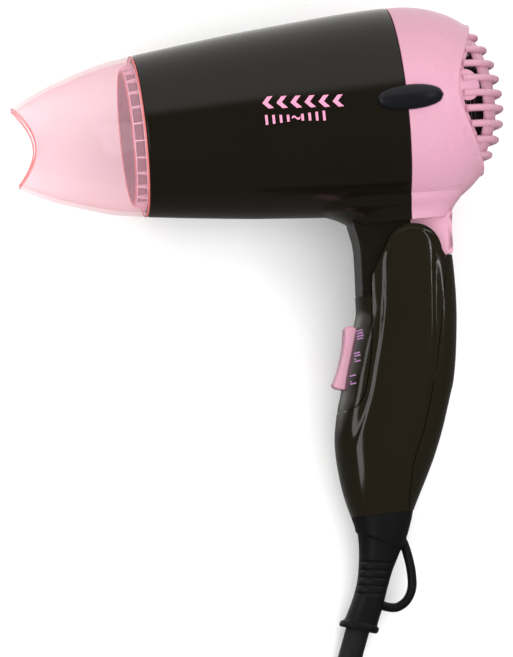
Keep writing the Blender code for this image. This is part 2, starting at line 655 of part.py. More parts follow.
def neck_sweep(name, parent):
    """Space the neck swings through between the cheeks."""
    bm = bmesh.new()
    half = NECK_HALF_WIDTH + GAP
    add_turned(bm, [(-half, 0.0), (-half, SWEEP_RADIUS), (half, SWEEP_RADIUS), (half, 0.0)], 48, 0.0, "Y")
    return finish(name, bm, parent)


def build_hinge(parent, steel, nylon):
    for side, word in ((-1, "left"), (1, "right")):
        y0, y1 = side * 5.4 * MM, side * 14.1 * MM
        bm = bmesh.new()
        add_turned(bm, [(y0, 2.6 * MM), (y0, 4.0 * MM), (y1, 4.0 * MM), (y1, 2.6 * MM)], 24, 0.0, "Y")
        finish("hinge_bush_" + word, bm, parent, steel)
        y0, y1 = side * 10.8 * MM, side * 11.3 * MM
        bm = bmesh.new()
        add_turned(bm, [(y0, 4.4 * MM), (y0, 5.9 * MM), (y1, 5.9 * MM), (y1, 4.4 * MM)], 20, 0.0, "Y")
        finish("friction_washer_" + word, bm, parent, nylon)


def build_slider(slide, fixed, pink, dark, copper):
    """Thumb button with its stem and contact carriage, and the switch block it works in."""
    length = BUTTON_LENGTH / 2
    face = [(-0.5, 1.0), (-3.0, 0.985), (-3.6, 0.86), (-3.1, 0.55), (-2.7, 0.15), (-2.8, -0.25), (-3.2, -0.6),
            (-3.7, -0.86), (-3.1, -0.985), (-0.5, -1.0)]
    side = [(x * MM, z * length) for x, z in face]
    bm = bmesh.new()
    rings = []
    for y, grow in ((-1.0, 0.55), (-0.82, 1.0), (0.82, 1.0), (1.0, 0.55)):
        rings.append([(-0.5 * MM + (x + 0.5 * MM) * grow, y * BUTTON_WIDTH / 2, z) for x, z in side])
    add_loft(bm, rings)
    button = finish("slide_button", bm, slide, pink)
    bm = bmesh.new()
    add_box(bm, (-1.2 * MM, -1.5 * MM, -STEM_LENGTH / 2), (5.4 * MM, 1.5 * MM, STEM_LENGTH / 2))
    combine(button, finish("button_stem", bm, slide), "UNION")
    bm = bmesh.new()
    add_box(bm, (5.7 * MM, -2.6 * MM, -3.5 * MM), (8.2 * MM, 2.6 * MM, 3.5 * MM))
    finish("switch_carriage", bm, slide, copper)
    bm = bmesh.new()
    add_box(bm, (3.6 * MM, -5.5 * MM, -11.5 * MM), (12 * MM, 5.5 * MM, 9.0 * MM))
    block = finish("switch_block", bm, fixed, dark)
    bm = bmesh.new()
    add_box(bm, (2.0 * MM, -3.0 * MM, -8.2 * MM), (8.6 * MM, 3.0 * MM, 8.2 * MM))
    combine(block, finish("switch_well", bm, fixed), "DIFFERENCE")


def build_boot(parent, rubber):
    rings = []
    for z, centre, depth, half, tilt in BOOT_SECTIONS:
        level = section(0.0, depth * MM, half * MM, 0.0, 2.3, 26)
        place_ring = Matrix.Translation((centre * MM, 0, z * MM)) @ Matrix.Rotation(math.radians(tilt), 4, "Y")
        rings.append([place_ring @ Vector(point) for point in level])
    bm = bmesh.new()
    add_loft(bm, rings)
    boot = finish("strain_relief", bm, parent, rubber)
    bm = bmesh.new()
    top = [section(-20.6 * MM, 8.0 * MM, 7.4 * MM, z * MM, 2.3, 28) for z in (-94.5, -86.0)]
    add_loft(bm, top)
    combine(boot, finish("boot_plug", bm, parent), "UNION")
    bm = bmesh.new()
    route = smooth_route([Vector((x, 0, z)) * MM for x, z in LOOP_ROUTE], 2.6 * MM)
    add_tube(bm, route, 1.45 * MM, 10, 1.5)
    combine(boot, finish("hang_loop", bm, parent), "UNION")
    return boot


def build_handle_inside(parent, steel, nylon, copper):
    bm = bmesh.new()
    add_box(bm, (-26 * MM, -6.4 * MM, -83 * MM), (-12 * MM, -3.2 * MM, -77 * MM))
    clamp = finish("cord_clamp", bm, parent, nylon)
    for name, x in (("front", -23.8), ("back", -14.2)):
        bm = bmesh.new()
        add_turned(bm, [(-12 * MM, 0.0), (-12 * MM, 1.5 * MM), (0.0, 1.5 * MM), (0.0, 0.0)], 12, -80 * MM, "Y",
                   (x * MM, 0, 0))
        combine(clamp, finish("clamp_hole_" + name, bm, parent), "DIFFERENCE")
        bm = bmesh.new()
        add_turned(bm, [(-8.3 * MM, 0.0), (-8.3 * MM, 2.2 * MM), (-6.7 * MM, 2.2 * MM), (-6.7 * MM, 1.2 * MM),
                        (-1.0 * MM, 1.2 * MM), (-1.0 * MM, 0.0)], 16, -80 * MM, "Y", (x * MM, 0, 0))
        finish("clamp_screw_" + name, bm, parent, steel)
    for word, y, paint in (("live", -1.6, copper), ("neutral", 1.6, nylon)):
        bm = bmesh.new()
        route = [(-19.0, -85.4), (-17.0, -72.0), (-8.0, -56.0), (0.0, -42.0), (5.4, -31.0), (7.6, -22.0), (7.2, -14.5)]
        add_tube(bm, smooth_route([Vector((x, y, z)) * MM for x, z in route], 6 * MM), 1.1 * MM, 6)
        finish("handle_wire_" + word, bm, parent, paint)


def build_barrel_wires(parent, copper, nylon):
    for word, y, paint in (("live", -3.0, copper), ("neutral", 3.0, nylon)):
        bm = bmesh.new()
        route = [(-0.5, -7.0), (-1.0, 4.0), (-3.0, 13.0), (-5.8, 19.5), (-12.0, 22.2), (-24.0, 22.6), (-28.0, 27.0)]
        add_tube(bm, smooth_route([Vector((x, y, z)) * MM for x, z in route], 5 * MM), 1.0 * MM, 6)
        finish("barrel_wire_" + word, bm, parent, paint)


def build_cord_tube(name, points, paint):
    """Round flexible cord as a curve along its smoothed route, with closed ends."""
    curve = bpy.data.curves.new(name, "CURVE")
    curve.dimensions = "3D"
    curve.bevel_depth = CORD_RADIUS
    curve.bevel_resolution = 2
    curve.use_fill_caps = True
    spline = curve.splines.new("POLY")
    spline.points.add(len(points) - 1)
    for knot, point in zip(spline.points, points):
        knot.co = (*point, 1.0)
    curve.materials.append(paint)
    made = bpy.data.objects.new(name, curve)
    bpy.context.scene.collection.objects.link(made)
    return made


def build_lead(rubber, strap, brass):
    """Mains lead to its storage coil, the coil's outer shape, its tie, and the plug beside it."""
    lead = [Vector(point) * MM for point in LEAD_ROUTE]
    build_cord_tube("mains_cord", smooth_route(lead, CORD_STEP / 2), rubber)
    tail = [COIL_CENTRE + Vector(point) * MM for point in TAIL_ROUTE]
    build_cord_tube("cord_tail", smooth_route(tail, CORD_STEP / 2), rubber)
    low, high = COIL_BASE, COIL_BASE + COIL_HEIGHT
    inner, outer, soft = COIL_MIDDLE - COIL_HALF_WIDTH, COIL_MIDDLE + COIL_HALF_WIDTH, 3 * MM
    bm = bmesh.new()
    profile = [(low, inner + soft), (low, outer - soft), (low + soft, outer), (high - soft, outer),
               (high, outer - soft), (high, inner + soft), (high - soft, inner), (low + soft, inner)]
    add_turned(bm, profile, 44, 0.0, "Z", COIL_CENTRE)
    finish("cord_coil", bm, None, rubber)
    build_tie(strap, inner, outer, high)
    build_plug(rubber, brass)


def build_tie(paint, inner, outer, high):
    """Strap round the coil's section."""
    inside = [(inner - 0.8 * MM, 0.9 * MM), (outer + GAP, 0.9 * MM), (outer + GAP, high + GAP),
              (inner - 0.8 * MM, high + GAP)]
    thick = 0.8 * MM
    outside = [(inner - 0.8 * MM - thick, 0.1 * MM), (outer + GAP + thick, 0.1 * MM),
               (outer + GAP + thick, high + GAP + thick), (inner - 0.8 * MM - thick, high + GAP + thick)]
    bm = bmesh.new()
    rings = []
    for half, line in ((-6 * MM, inside), (-6 * MM, outside), (6 * MM, outside), (6 * MM, inside)):
        rings.append([(r, half, z) for r, z in line])
    add_loft(bm, rings, closed=True)
    turn = Matrix.Translation(COIL_CENTRE) @ Matrix.Rotation(TIE_ANGLE, 4, "Z")
    bmesh.ops.transform(bm, matrix=turn, verts=bm.verts)
    finish("cable_tie", bm, None, paint)


def build_plug(rubber, brass):
    origin = COIL_CENTRE + Vector(PLUG_PLACE) * MM
    rings = []
    for y, half_width, half_height in PLUG_SECTIONS:
        level = section(0.0, half_width * MM, half_height * MM, 0.0, 2.6, 24)
        rings.append([origin + Vector((x, y * MM, z)) for x, z, _ in level])
    bm = bmesh.new()
    add_loft(bm, rings)
    finish("plug_body", bm, None, rubber)
    front = PLUG_SECTIONS[-1][0] * MM + GAP
    for word, x in (("left", -6.35), ("right", 6.35)):
        bm = bmesh.new()
        low = origin + Vector((x * MM - 0.75 * MM, front, -3.2 * MM))
        high = origin + Vector((x * MM + 0.75 * MM, front + 16.5 * MM, 3.2 * MM))
        add_box(bm, low, high)
        finish("plug_blade_" + word, bm, None, brass)


def main():
    clear_scene()
    black = material("gloss_black", (0.022, 0.019, 0.016), 0.12)
    pink = material("pink_plastic", (0.86, 0.16, 0.36), 0.3)
    clear_pink = material("clear_pink", (0.95, 0.62, 0.70), 0.1, 0.0, 0.8)
    rubber = material("black_rubber", (0.03, 0.03, 0.033), 0.6)
    dark = material("dark_plastic", (0.05, 0.045, 0.045), 0.45)
    steel = material("steel", (0.6, 0.6, 0.62), 0.3, 0.9)
    copper = material("copper_red", (0.6, 0.16, 0.1), 0.4)
    mica = material("mica", (0.62, 0.5, 0.32), 0.55)
    wire = material("heater_wire", (0.4, 0.37, 0.34), 0.35, 0.8)
    board = material("board_green", (0.05, 0.28, 0.12), 0.5)
    brass = material("plated_brass", (0.75, 0.7, 0.6), 0.3, 1.0)
    nylon = material("white_nylon", (0.82, 0.82, 0.8), 0.5)

    rest = empty("rest_frame", None, REST_OFFSET, REST_ROTATION)
    fold = empty("fold_axis", rest)
    spin = empty("spin_axis", fold, (0, 0, AXIS_Z))
    slide = empty("slide_frame", rest, SLIDE_CENTRE, (0, SLIDE_TILT, 0))
    fixed = empty("switch_frame", rest, SLIDE_CENTRE, (0, SLIDE_TILT, 0))

    build_barrel_shell(fold, black)
    build_rear_cover(fold, pink)
    build_side_trim("side_trim_left", -1, fold, rubber)
    build_side_trim("side_trim_right", 1, fold, rubber)
    build_intake_screen(fold, steel)
    build_outlet_grille(fold, dark)
    build_mica(fold, mica)
    build_heating_coil("heating_coil_main", -74 * MM, -52 * MM, 5, fold, wire)
    build_heating_coil("heating_coil_low", -47 * MM, -35 * MM, 3, fold, wire)
    build_small_heater_parts(fold, steel, nylon)
    build_motor_housing(fold, dark)
    build_motor(fold, steel, board, dark)
    build_fan(spin, dark, steel)
    build_nozzle(spin, clear_pink)
    build_barrel_wires(fold, copper, nylon)
    build_handle(rest, black, black)
    build_hinge(rest, steel, nylon)
    build_slider(slide, fixed, pink, dark, copper)
    build_boot(rest, rubber)
    build_handle_inside(rest, steel, nylon, copper)
    build_lead(rubber, dark, brass)


main()
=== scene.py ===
import math

import bmesh
import bpy
from mathutils import Euler, Matrix, Vector
from mathutils.bvhtree import BVHTree


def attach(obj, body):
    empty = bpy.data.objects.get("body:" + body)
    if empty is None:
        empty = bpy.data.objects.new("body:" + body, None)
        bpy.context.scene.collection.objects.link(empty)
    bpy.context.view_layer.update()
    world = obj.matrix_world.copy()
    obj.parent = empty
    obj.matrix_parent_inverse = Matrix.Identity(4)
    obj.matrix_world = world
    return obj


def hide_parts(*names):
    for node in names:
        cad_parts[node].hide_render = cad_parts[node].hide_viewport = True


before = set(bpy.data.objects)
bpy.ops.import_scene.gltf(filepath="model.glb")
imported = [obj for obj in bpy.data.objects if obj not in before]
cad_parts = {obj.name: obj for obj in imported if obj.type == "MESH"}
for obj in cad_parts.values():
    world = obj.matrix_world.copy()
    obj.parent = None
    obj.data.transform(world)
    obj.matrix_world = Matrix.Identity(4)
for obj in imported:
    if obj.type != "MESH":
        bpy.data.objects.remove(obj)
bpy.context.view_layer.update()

MM = 0.001
AXIS_Z = 51.2          # barrel's axis above the fold pivot
SEAM_X = -1.0          # where the black barrel meets the pink cover
RIM_X = -93.8          # barrel's mouth
GAP = 0.3              # width of a seam between two mouldings
BARREL_WALL = 2.2
HANDLE_WALL = 2.3
BORE_RADIUS = 4.3      # hinge bore through the neck's cheeks
GRILLE_HALF, GRILLE_TALL, GRILLE_LIFT = 33.9, 26.7, 1.0
# Rolled lip round the intake and the band sunk inside it: distance past the opening, height off the skin.
COVER_LIP = [(-1.2, 0.06), (-0.85, 0.28), (-0.45, 0.55), (0.0, 0.62), (0.4, 0.38), (0.65, -0.15), (0.8, -0.8),
             (1.1, -1.15), (1.7, -1.25), (2.5, -1.3), (2.8, -1.45), (2.9, -1.9), (2.8, -2.6), (2.3, -2.8)]
RIB_HEIGHTS = (23.0, 18.2, 12.8, 7.4, 2.0, -3.4, -8.9, -14.3, -19.5)
TEETH = 26
GROOVES, GROOVE_PITCH = 5, 2.85   # across the boot
PRINT_RISE, PRINT_DEPTH = 0.05, 0.12

# The dryer is built upright in millimetres, then laid on its side by this matrix.
REST = (Matrix.Translation(Vector((50.37, 22.33, 31.34)) * MM)
        @ Euler(tuple(math.radians(a) for a in (-80.789, -6.315, -0.509))).to_matrix().to_4x4())
TO_WORLD = REST @ Matrix.Scale(MM, 4)

BARREL_PROFILE = [(-93.8, 29.1), (-75.0, 31.4), (-57.0, 33.4), (-39.0, 35.0), (-20.0, 36.5), (-8.0, 37.1),
                  (-1.0, 37.2), (6.0, 36.9), (12.4, 35.8), (18.0, 33.9), (23.2, 31.3), (28.0, 27.6),
                  (31.6, 23.2), (34.4, 18.2), (36.4, 13.0), (37.6, 7.0), (38.1, 0.0)]
COLLAR = [(11.15, -21.4, 14.5, 15.2), (12.3, -22.6, 14.9, 15.5), (14.0, -25.2, 15.6, 15.8),
          (15.6, -28.6, 16.4, 16.2), (17.4, -33.5, 17.6, 16.8), (21.0, -38.0, 19.0, 17.5)]
HANDLE = [(-92.6, -32.1, -10.0, 10.8), (-88.0, -33.3, -7.6, 11.9), (-82.0, -34.4, -4.4, 13.1),
          (-76.0, -35.0, -1.3, 14.1), (-70.0, -35.3, 1.4, 14.8), (-64.0, -35.0, 3.8, 15.3),
          (-58.0, -33.9, 5.9, 15.6), (-53.0, -32.6, 7.6, 15.8), (-48.0, -31.0, 9.3, 15.9),
          (-42.0, -29.4, 10.6, 16.0), (-36.0, -27.5, 11.6, 16.0), (-30.0, -25.6, 12.4, 16.0),
          (-25.0, -24.0, 13.0, 15.9), (-20.0, -22.5, 13.4, 15.8), (-14.0, -22.1, 13.7, 15.7),
          (-6.0, -21.6, 13.8, 15.6), (2.0, -21.4, 13.6, 15.5), (12.0, -21.2, 13.5, 15.4)]
PLATE_SEAM = [(-17.9, -14.3), (-18.8, -22.0), (-20.3, -33.5), (-22.2, -42.0), (-25.0, -50.2),
              (-28.9, -54.2), (-33.2, -54.8), (-42.0, -54.8)]
BACK_SEAM = [(10.2, -2.6), (8.2, -14.4), (2.4, -41.3), (-4.4, -63.7), (-9.0, -74.4), (-11.8, -86.8),
             (-12.2, -95.0)]
# Raised side panel of the handle: its front edge downwards from the arc, and its back edge.
PANEL_FRONT = [(-10.6, 2.5), (-12.3, -2.0), (-13.2, -9.6), (-14.4, -18.5), (-16.5, -29.1),
               (-19.4, -39.6), (-22.6, -50.5), (-28.5, -64.0), (-35.0, -76.0)]
PANEL_BACK = [(6.6, 1.0), (5.4, -5.0), (4.6, -12.0), (3.6, -22.0), (2.2, -35.0), (-0.8, -50.0),
              (-5.2, -63.7), (-10.6, -78.0)]
BOOT = [(-92.64, -21.1, 11.1, 10.6, 0), (-96.0, -21.2, 10.2, 10.1, 0), (-100.0, -21.9, 9.2, 9.4, 3),
        (-104.0, -22.9, 8.3, 8.6, 5), (-107.5, -24.0, 7.5, 7.9, 8), (-112.0, -25.6, 6.6, 7.1, 11),
        (-118.0, -27.6, 5.9, 6.4, 14), (-124.0, -29.9, 5.7, 6.1, 16), (-129.0, -32.2, 5.8, 5.9, 18)]
BOOT_LIP = [(-129.6, -32.5, 5.85, 5.9, 18), (-130.6, -33.0, 6.1, 5.95, 18), (-131.0, -33.2, 6.8, 6.2, 18),
            (-131.5, -33.5, 7.05, 6.35, 18), (-132.4, -33.95, 7.05, 6.35, 18), (-132.9, -34.2, 6.7, 6.1, 18)]
LOOP_ROUTE = [(-16.5, -99.0), (-14.4, -104.0), (-13.2, -110.0), (-12.8, -115.5), (-13.3, -120.3),
              (-15.5, -124.2), (-19.0, -126.3), (-22.4, -126.0), (-25.5, -124.6)]
NOZZLE = [(-94.1, 28.9, 28.9, 2.0, 0.0), (-99.0, 28.1, 27.4, 2.0, 0.0), (-105.0, 27.2, 25.0, 2.0, 0.2),
          (-111.0, 25.6, 22.2, 2.1, 0.6), (-118.0, 23.4, 18.6, 2.2, 1.3), (-125.0, 21.0, 14.8, 2.4, 2.4),
          (-131.5, 18.2, 11.0, 2.6, 4.0), (-138.6, 14.6, 6.6, 3.0, 7.0)]
SLIDE_PLACE = Matrix.Translation((-27.4, 0.0, -35.9)) @ Matrix.Rotation(math.radians(17.6), 4, "Y")

CORD_RADIUS = 4.3
CORD_REST = 4.4       # height of its centre line where it lies on the floor
LEAD_ROUTE = [(19.2, -104.2, 7.15), (16.97, -109.69, 6.25), (13.4, -118.6, 4.8), (8.9, -128.3, 4.4),
              (4.6, -138.0, 4.4), (0.9, -148.0, 4.4), (-2.4, -157.5, 4.4), (-4.9, -166.5, 4.4)]
COIL_CENTRE = Vector((50.0, -203.0, 0.0))
COIL_RADII = (56.9, 48.0, 39.1, 43.5, 52.4, 52.4)
COIL_HEIGHTS = (5.5, 5.5, 5.5, 13.2, 13.2, 13.2)
COIL_FROM, COIL_TO, COIL_STEP, LEAVE_AT = 180.0, 2045.0, 4.0, 2085.0
TAIL_ROUTE = [(17.1, -64.0, 4.4), (28.0, -61.0, 4.4), (39.0, -58.2, 4.4), (49.0, -55.0, 4.7),
              (59.2, -50.0, 5.5), (67.6, -42.6, 6.9), (73.8, -33.0, 8.7), (76.3, -23.0, 9.7)]
PLUG_PLACE = Vector((76.4, -22.0, 9.7))
PLUG = [(0.0, 5.3, 5.2), (9.0, 6.0, 5.8), (18.0, 6.8, 6.4), (22.0, 9.5, 7.6), (28.0, 13.4, 9.3),
        (48.0, 14.0, 9.5), (53.0, 13.6, 9.2), (54.5, 12.4, 8.2)]
TIE_ANGLE = math.radians(55.0)
TIE_INNER, TIE_OUTER, TIE_HIGH = 34.7, 61.3, 17.6

CAMERA_TARGET = Vector((-59.1, 0.0, -21.61))
CAMERA_TURN = (6.5, 2.2, 6.13)
CAMERA_DISTANCE = 2600.0
CAMERA_LENS = 396.95


# ---- camera
def make_camera():
    """The photograph's view: yaw, pitch and roll about the upright dryer."""
    yaw, pitch, roll = (math.radians(a) for a in CAMERA_TURN)
    ahead = Vector((math.sin(yaw), math.cos(yaw), math.sin(pitch))).normalized()
    place = CAMERA_TARGET - ahead * CAMERA_DISTANCE
    up = Vector((math.sin(roll), 0.0, math.cos(roll)))
    up = (up - ahead * up.dot(ahead)).normalized()
    right = ahead.cross(up)
    turn = REST.to_3x3()
    data = bpy.data.cameras.new("camera")
    data.lens = CAMERA_LENS
    data.sensor_width = 36.0
    data.clip_end = 10.0
    made = bpy.data.objects.new("camera", data)
    bpy.context.scene.collection.objects.link(made)
    frame_axes = Matrix((turn @ right, turn @ up, turn @ -ahead)).transposed()
    made.matrix_world = Matrix.Translation(TO_WORLD @ place) @ frame_axes.to_4x4()
    bpy.context.scene.camera = made


# ---- materials
def node(tree, kind, **inputs):
    made = tree.nodes.new(kind)
    for key, value in inputs.items():
        made.inputs[key.replace("_", " ")].default_value = value
    return made


def noise(tree, scale, detail, rough):
    made = node(tree, "ShaderNodeTexNoise", Scale=scale, Detail=detail, Roughness=rough)
    where = tree.nodes.new("ShaderNodeTexCoord")
    tree.links.new(where.outputs["Object"], made.inputs["Vector"])
    return made.outputs["Fac"]


def blend_colours(tree, share, first, second):
    """Mix of two colours; the first may come from another node."""
    made = tree.nodes.new("ShaderNodeMix")
    made.data_type = "RGBA"
    tree.links.new(share, made.inputs[0])
    if isinstance(first, tuple):
        made.inputs[6].default_value = (*first, 1.0)
    else:
        tree.links.new(first, made.inputs[6])
    made.inputs[7].default_value = (*second, 1.0)
    return made.outputs[2]


def spread_out(tree, value, low, high, start=0.0, end=1.0):
    """Map a value between start and end to the span from low to high."""
    made = node(tree, "ShaderNodeMapRange", From_Min=start, From_Max=end, To_Min=low, To_Max=high)
    tree.links.new(value, made.inputs["Value"])
    return made


def paint(name, colour, other, roughness, spread, grain, bump, patch, **sockets):
    """Plastic or metal with a slow colour drift, fine surface grain and uneven gloss."""
    made = bpy.data.materials.new(name)
    made.use_nodes = True
    tree = made.node_tree
    shader = tree.nodes["Principled BSDF"]
    for key, value in sockets.items():
        shader.inputs[key].default_value = value
    drift = blend_colours(tree, noise(tree, patch, 3.0, 0.55), colour, other)
    tree.links.new(drift, shader.inputs["Base Color"])
    uneven = noise(tree, patch * 3.1, 2.0, 0.5)
    gloss = spread_out(tree, uneven, max(roughness - spread, 0.02), roughness + spread, 0.3, 0.7)
    tree.links.new(gloss.outputs["Result"], shader.inputs["Roughness"])
    relief = node(tree, "ShaderNodeBump", Strength=bump, Distance=0.0004)
    tree.links.new(noise(tree, grain, 4.0, 0.6), relief.inputs["Height"])
    tree.links.new(relief.outputs["Normal"], shader.inputs["Normal"])
    return made


def clear_paint(name, colour, edge, low, high):
    """Clear tinted plastic: paler face on, denser and redder where it is seen through its edge."""
    made = paint(name, colour, tuple(c * 0.94 for c in colour), 0.06, 0.02, 500.0, 0.015, 30.0)
    tree = made.node_tree
    shader = tree.nodes["Principled BSDF"]
    drift = shader.inputs["Base Color"].links[0].from_socket
    facing = node(tree, "ShaderNodeLayerWeight", Blend=0.32).outputs["Facing"]
    tree.links.new(blend_colours(tree, facing, drift, edge), shader.inputs["Base Color"])
    tree.links.new(spread_out(tree, facing, low, high).outputs["Result"], shader.inputs["Alpha"])
    return made


# Name, the two colours it drifts between, roughness, its spread, grain scale, bump, drift scale, other sockets.
SURFACES = {
    "black": ("gloss_black", (0.0064, 0.0046, 0.0023), (0.0042, 0.0030, 0.0014),
        0.13, 0.012, 700, 0.01, 25, {"IOR": 1.42}),
    "brown": ("gloss_brown_black", (0.0105, 0.0082, 0.0038), (0.0065, 0.0049, 0.0022),
        0.12, 0.012, 700, 0.01, 28, {"IOR": 1.42}),
    "pink": ("pink_plastic", (0.575, 0.290, 0.385), (0.560, 0.280, 0.372),
        0.28, 0.015, 800, 0.015, 22, {"IOR": 1.45}),
    "tooth": ("clear_pink_tooth", (0.80, 0.50, 0.62), (0.70, 0.36, 0.50),
        0.15, 0.05, 900, 0.05, 60, {}),
    # sleeve: dark red paint for the nozzle's inner sleeve, its darkness painted shade of the barrel's inside
    # seen through it.
    "sleeve": ("sleeve_painted_shade", (0.075, 0.014, 0.026), (0.050, 0.010, 0.018),
        0.30, 0.08, 900, 0.08, 60, {"IOR": 1.4}),
    # glow: bright red paint for the sleeve's front edge, a painted glow.
    "glow": ("painted_edge_glow", (0.72, 0.13, 0.09), (0.60, 0.09, 0.07),
        0.2, 0.05, 900, 0.05, 60, {}),
    "pad": ("soft_pad", (0.0050, 0.0054, 0.0080), (0.0035, 0.0038, 0.0055),
        0.32, 0.05, 1600, 0.08, 60, {"IOR": 1.36}),
    "rubber": ("black_rubber", (0.0042, 0.0043, 0.0046), (0.0028, 0.0029, 0.0031),
        0.42, 0.08, 1500, 0.15, 50, {"IOR": 1.26}),
    "cord": ("cord_rubber", (0.0075, 0.0075, 0.0076), (0.0050, 0.0050, 0.0051),
        0.48, 0.08, 1800, 0.18, 40, {"IOR": 1.3}),
    "dark": ("dark_plastic", (0.020, 0.017, 0.017), (0.012, 0.010, 0.010),
        0.45, 0.08, 1300, 0.12, 60, {}),
    "steel": ("steel", (0.56, 0.56, 0.58), (0.46, 0.46, 0.48),
        0.33, 0.09, 1500, 0.10, 90, {"Metallic": 1.0}),
    "red": ("wire_red", (0.55, 0.06, 0.05), (0.46, 0.04, 0.04),
        0.4, 0.06, 1200, 0.06, 60, {}),
    "mica": ("mica", (0.60, 0.46, 0.27), (0.48, 0.34, 0.18),
        0.5, 0.12, 700, 0.25, 120, {}),
    "wire": ("heater_wire", (0.36, 0.32, 0.29), (0.22, 0.20, 0.20),
        0.38, 0.1, 1500, 0.15, 150, {"Metallic": 1.0}),
    "board": ("board_green", (0.04, 0.24, 0.10), (0.03, 0.18, 0.08),
        0.45, 0.08, 900, 0.08, 90, {}),
    "brass": ("plated_brass", (0.78, 0.73, 0.62), (0.70, 0.64, 0.52),
        0.25, 0.08, 1500, 0.06, 90, {"Metallic": 1.0}),
    "nylon": ("white_nylon", (0.78, 0.78, 0.74), (0.70, 0.70, 0.66),
        0.45, 0.08, 900, 0.08, 70, {}),
    "ink": ("pink_ink", (0.82, 0.30, 0.47), (0.76, 0.26, 0.42),
        0.4, 0.08, 1500, 0.05, 90, {}),
    "mark": ("pale_ink", (0.44, 0.20, 0.44), (0.36, 0.16, 0.38),
        0.4, 0.08, 1500, 0.05, 90, {}),
    # hollow: near-black paint for the sheet behind the intake screen, painted shade of the dryer's inside.
    "hollow": ("painted_shade_inside", (0.012, 0.008, 0.007), (0.008, 0.005, 0.004),
        0.5, 0.08, 900, 0.1, 60, {}),
}


def make_materials():
    kinds = {key: paint(*row[:-1], **row[-1]) for key, row in SURFACES.items()}
    kinds["clear"] = clear_paint("clear_pink", (0.80, 0.45, 0.54), (0.84, 0.34, 0.38), 0.17, 0.38)
    kinds["clear_rim"] = clear_paint("clear_pink_rim", (0.74, 0.20, 0.18), (0.62, 0.10, 0.07), 0.70, 0.95)
    return kinds


# ---- mesh helpers
def link(name, mesh):
    made = bpy.data.objects.new(name, mesh)
    bpy.context.scene.collection.objects.link(made)
    return made


def rough(name, bm):
    """Working object in the dryer's own millimetres, to be combined with others."""
    bmesh.ops.recalc_face_normals(bm, faces=bm.faces)
    mesh = bpy.data.meshes.new(name)
    bm.to_mesh(mesh)
    bm.free()
    return link(name, mesh)


def combine(target, other, operation):
    step = target.modifiers.new("step", "BOOLEAN")
    step.operation = operation
    step.solver = "EXACT"
    step.object = other
    evaluated = target.evaluated_get(bpy.context.evaluated_depsgraph_get())
    mesh = bpy.data.meshes.new_from_object(evaluated)
    target.modifiers.clear()
    target.data = mesh
    bpy.data.objects.remove(other)
    return target


def done(made, body, material, slot, nodes=(), smooth=32.0, world=False):
    """Shade the piece, lay it in place, give it its material and let it ride."""
    mesh = made.data
    if not world:
        mesh.transform(TO_WORLD)
    mesh.materials.clear()
    mesh.materials.append(material)
    mesh.shade_smooth()
    mesh.set_sharp_from_angle(angle=math.radians(smooth))
    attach(made, body)
    made.visible_shadow = slot != "clear_pink"
    if nodes:
        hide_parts(*nodes)
    return made


def spline(points, count):
    """Evenly spread values on a Catmull-Rom curve through equal-length tuples."""
    rows = [Vector(p) for p in points]
    ends = [rows[0] * 2 - rows[1]] + rows + [rows[-1] * 2 - rows[-2]]
    fine = []
    for a, b, c, d in zip(ends, ends[1:], ends[2:], ends[3:]):
        for i in range(16):
            t = i / 16
            fine.append(0.5 * (2 * b + (c - a) * t + (2 * a - 5 * b + 4 * c - d) * t * t
                               + (3 * b - a - 3 * c + d) * t ** 3))
    fine.append(rows[-1])
    length = [0.0]
    for p, q in zip(fine, fine[1:]):
        length.append(length[-1] + (q - p).length)
    even, k = [], 0
    for i in range(count):
        goal = length[-1] * i / (count - 1)
        while k < len(fine) - 2 and length[k + 1] < goal:
            k += 1
        part = (goal - length[k]) / max(length[k + 1] - length[k], 1e-9)
        even.append(fine[k].lerp(fine[k + 1], min(part, 1.0)))
    return even


def at(points, x):
    """Value at x on a smooth curve through (x, value) pairs sorted by x."""
    i = 0
    while i < len(points) - 2 and points[i + 1][0] < x:
        i += 1
    (x0, a), (x1, b) = points[i], points[i + 1]
    before = points[max(i - 1, 0)]
    after = points[min(i + 2, len(points) - 1)]
    t = min(max((x - x0) / (x1 - x0), 0.0), 1.0)
    m0 = (b - before[1]) / (x1 - before[0]) * (x1 - x0)
    m1 = (after[1] - a) / (after[0] - x0) * (x1 - x0)
    return ((2 * t ** 3 - 3 * t ** 2 + 1) * a + (t ** 3 - 2 * t ** 2 + t) * m0
            + (3 * t ** 2 - 2 * t ** 3) * b + (t ** 3 - t ** 2) * m1)


def loft(bm, rings, closed=False):
    """Skin over rings of equal counts; open ends are capped."""
    rows = [[bm.verts.new(p) for p in ring] for ring in rings]
    count = len(rows[0])
    pairs = list(zip(rows, rows[1:])) + ([(rows[-1], rows[0])] if closed else [])
    for low, high in pairs:
        for i in range(count):
            j = (i + 1) % count
            bm.faces.new((low[i], low[j], high[j], high[i]))
    if not closed:
        bm.faces.new(rows[0][::-1])
        bm.faces.new(rows[-1])


def compass(count):
    """Cosine and sine of evenly spread angles."""
    return [(math.cos(2 * math.pi * i / count), math.sin(2 * math.pi * i / count)) for i in range(count)]


def lofted(name, rings, closed=False):
    bm = bmesh.new()
    loft(bm, rings, closed)
    return rough(name, bm)


def turned(name, profile, segments):
    """Closed profile of (x, radius) turned about the barrel's axis."""
    round_way = compass(segments)
    return lofted(name, [[(x, r * c, AXIS_Z + r * s) for c, s in round_way] for x, r in profile], True)


def turned_across(name, profile, segments):
    """Profile of (y, radius) from axis to axis, turned about the hinge's axis."""
    return lofted(name, [[(r * c, y, r * s) for c, s in compass(segments)] for y, r in profile])


def prism(bm, outline, half):
    loft(bm, [[(x, -half, z) for x, z in outline], [(x, half, z) for x, z in outline]])


def superellipse(centre, depth, half, z, exponent, count):
    ring = []
    for i in range(count):
        angle = 2 * math.pi * (i + 0.5) / count
        c, s = math.cos(angle), math.sin(angle)
        scale = (abs(c) ** exponent + abs(s) ** exponent) ** (-1 / exponent)
        ring.append(Vector((centre + depth * c * scale, half * s * scale, z)))
    return ring


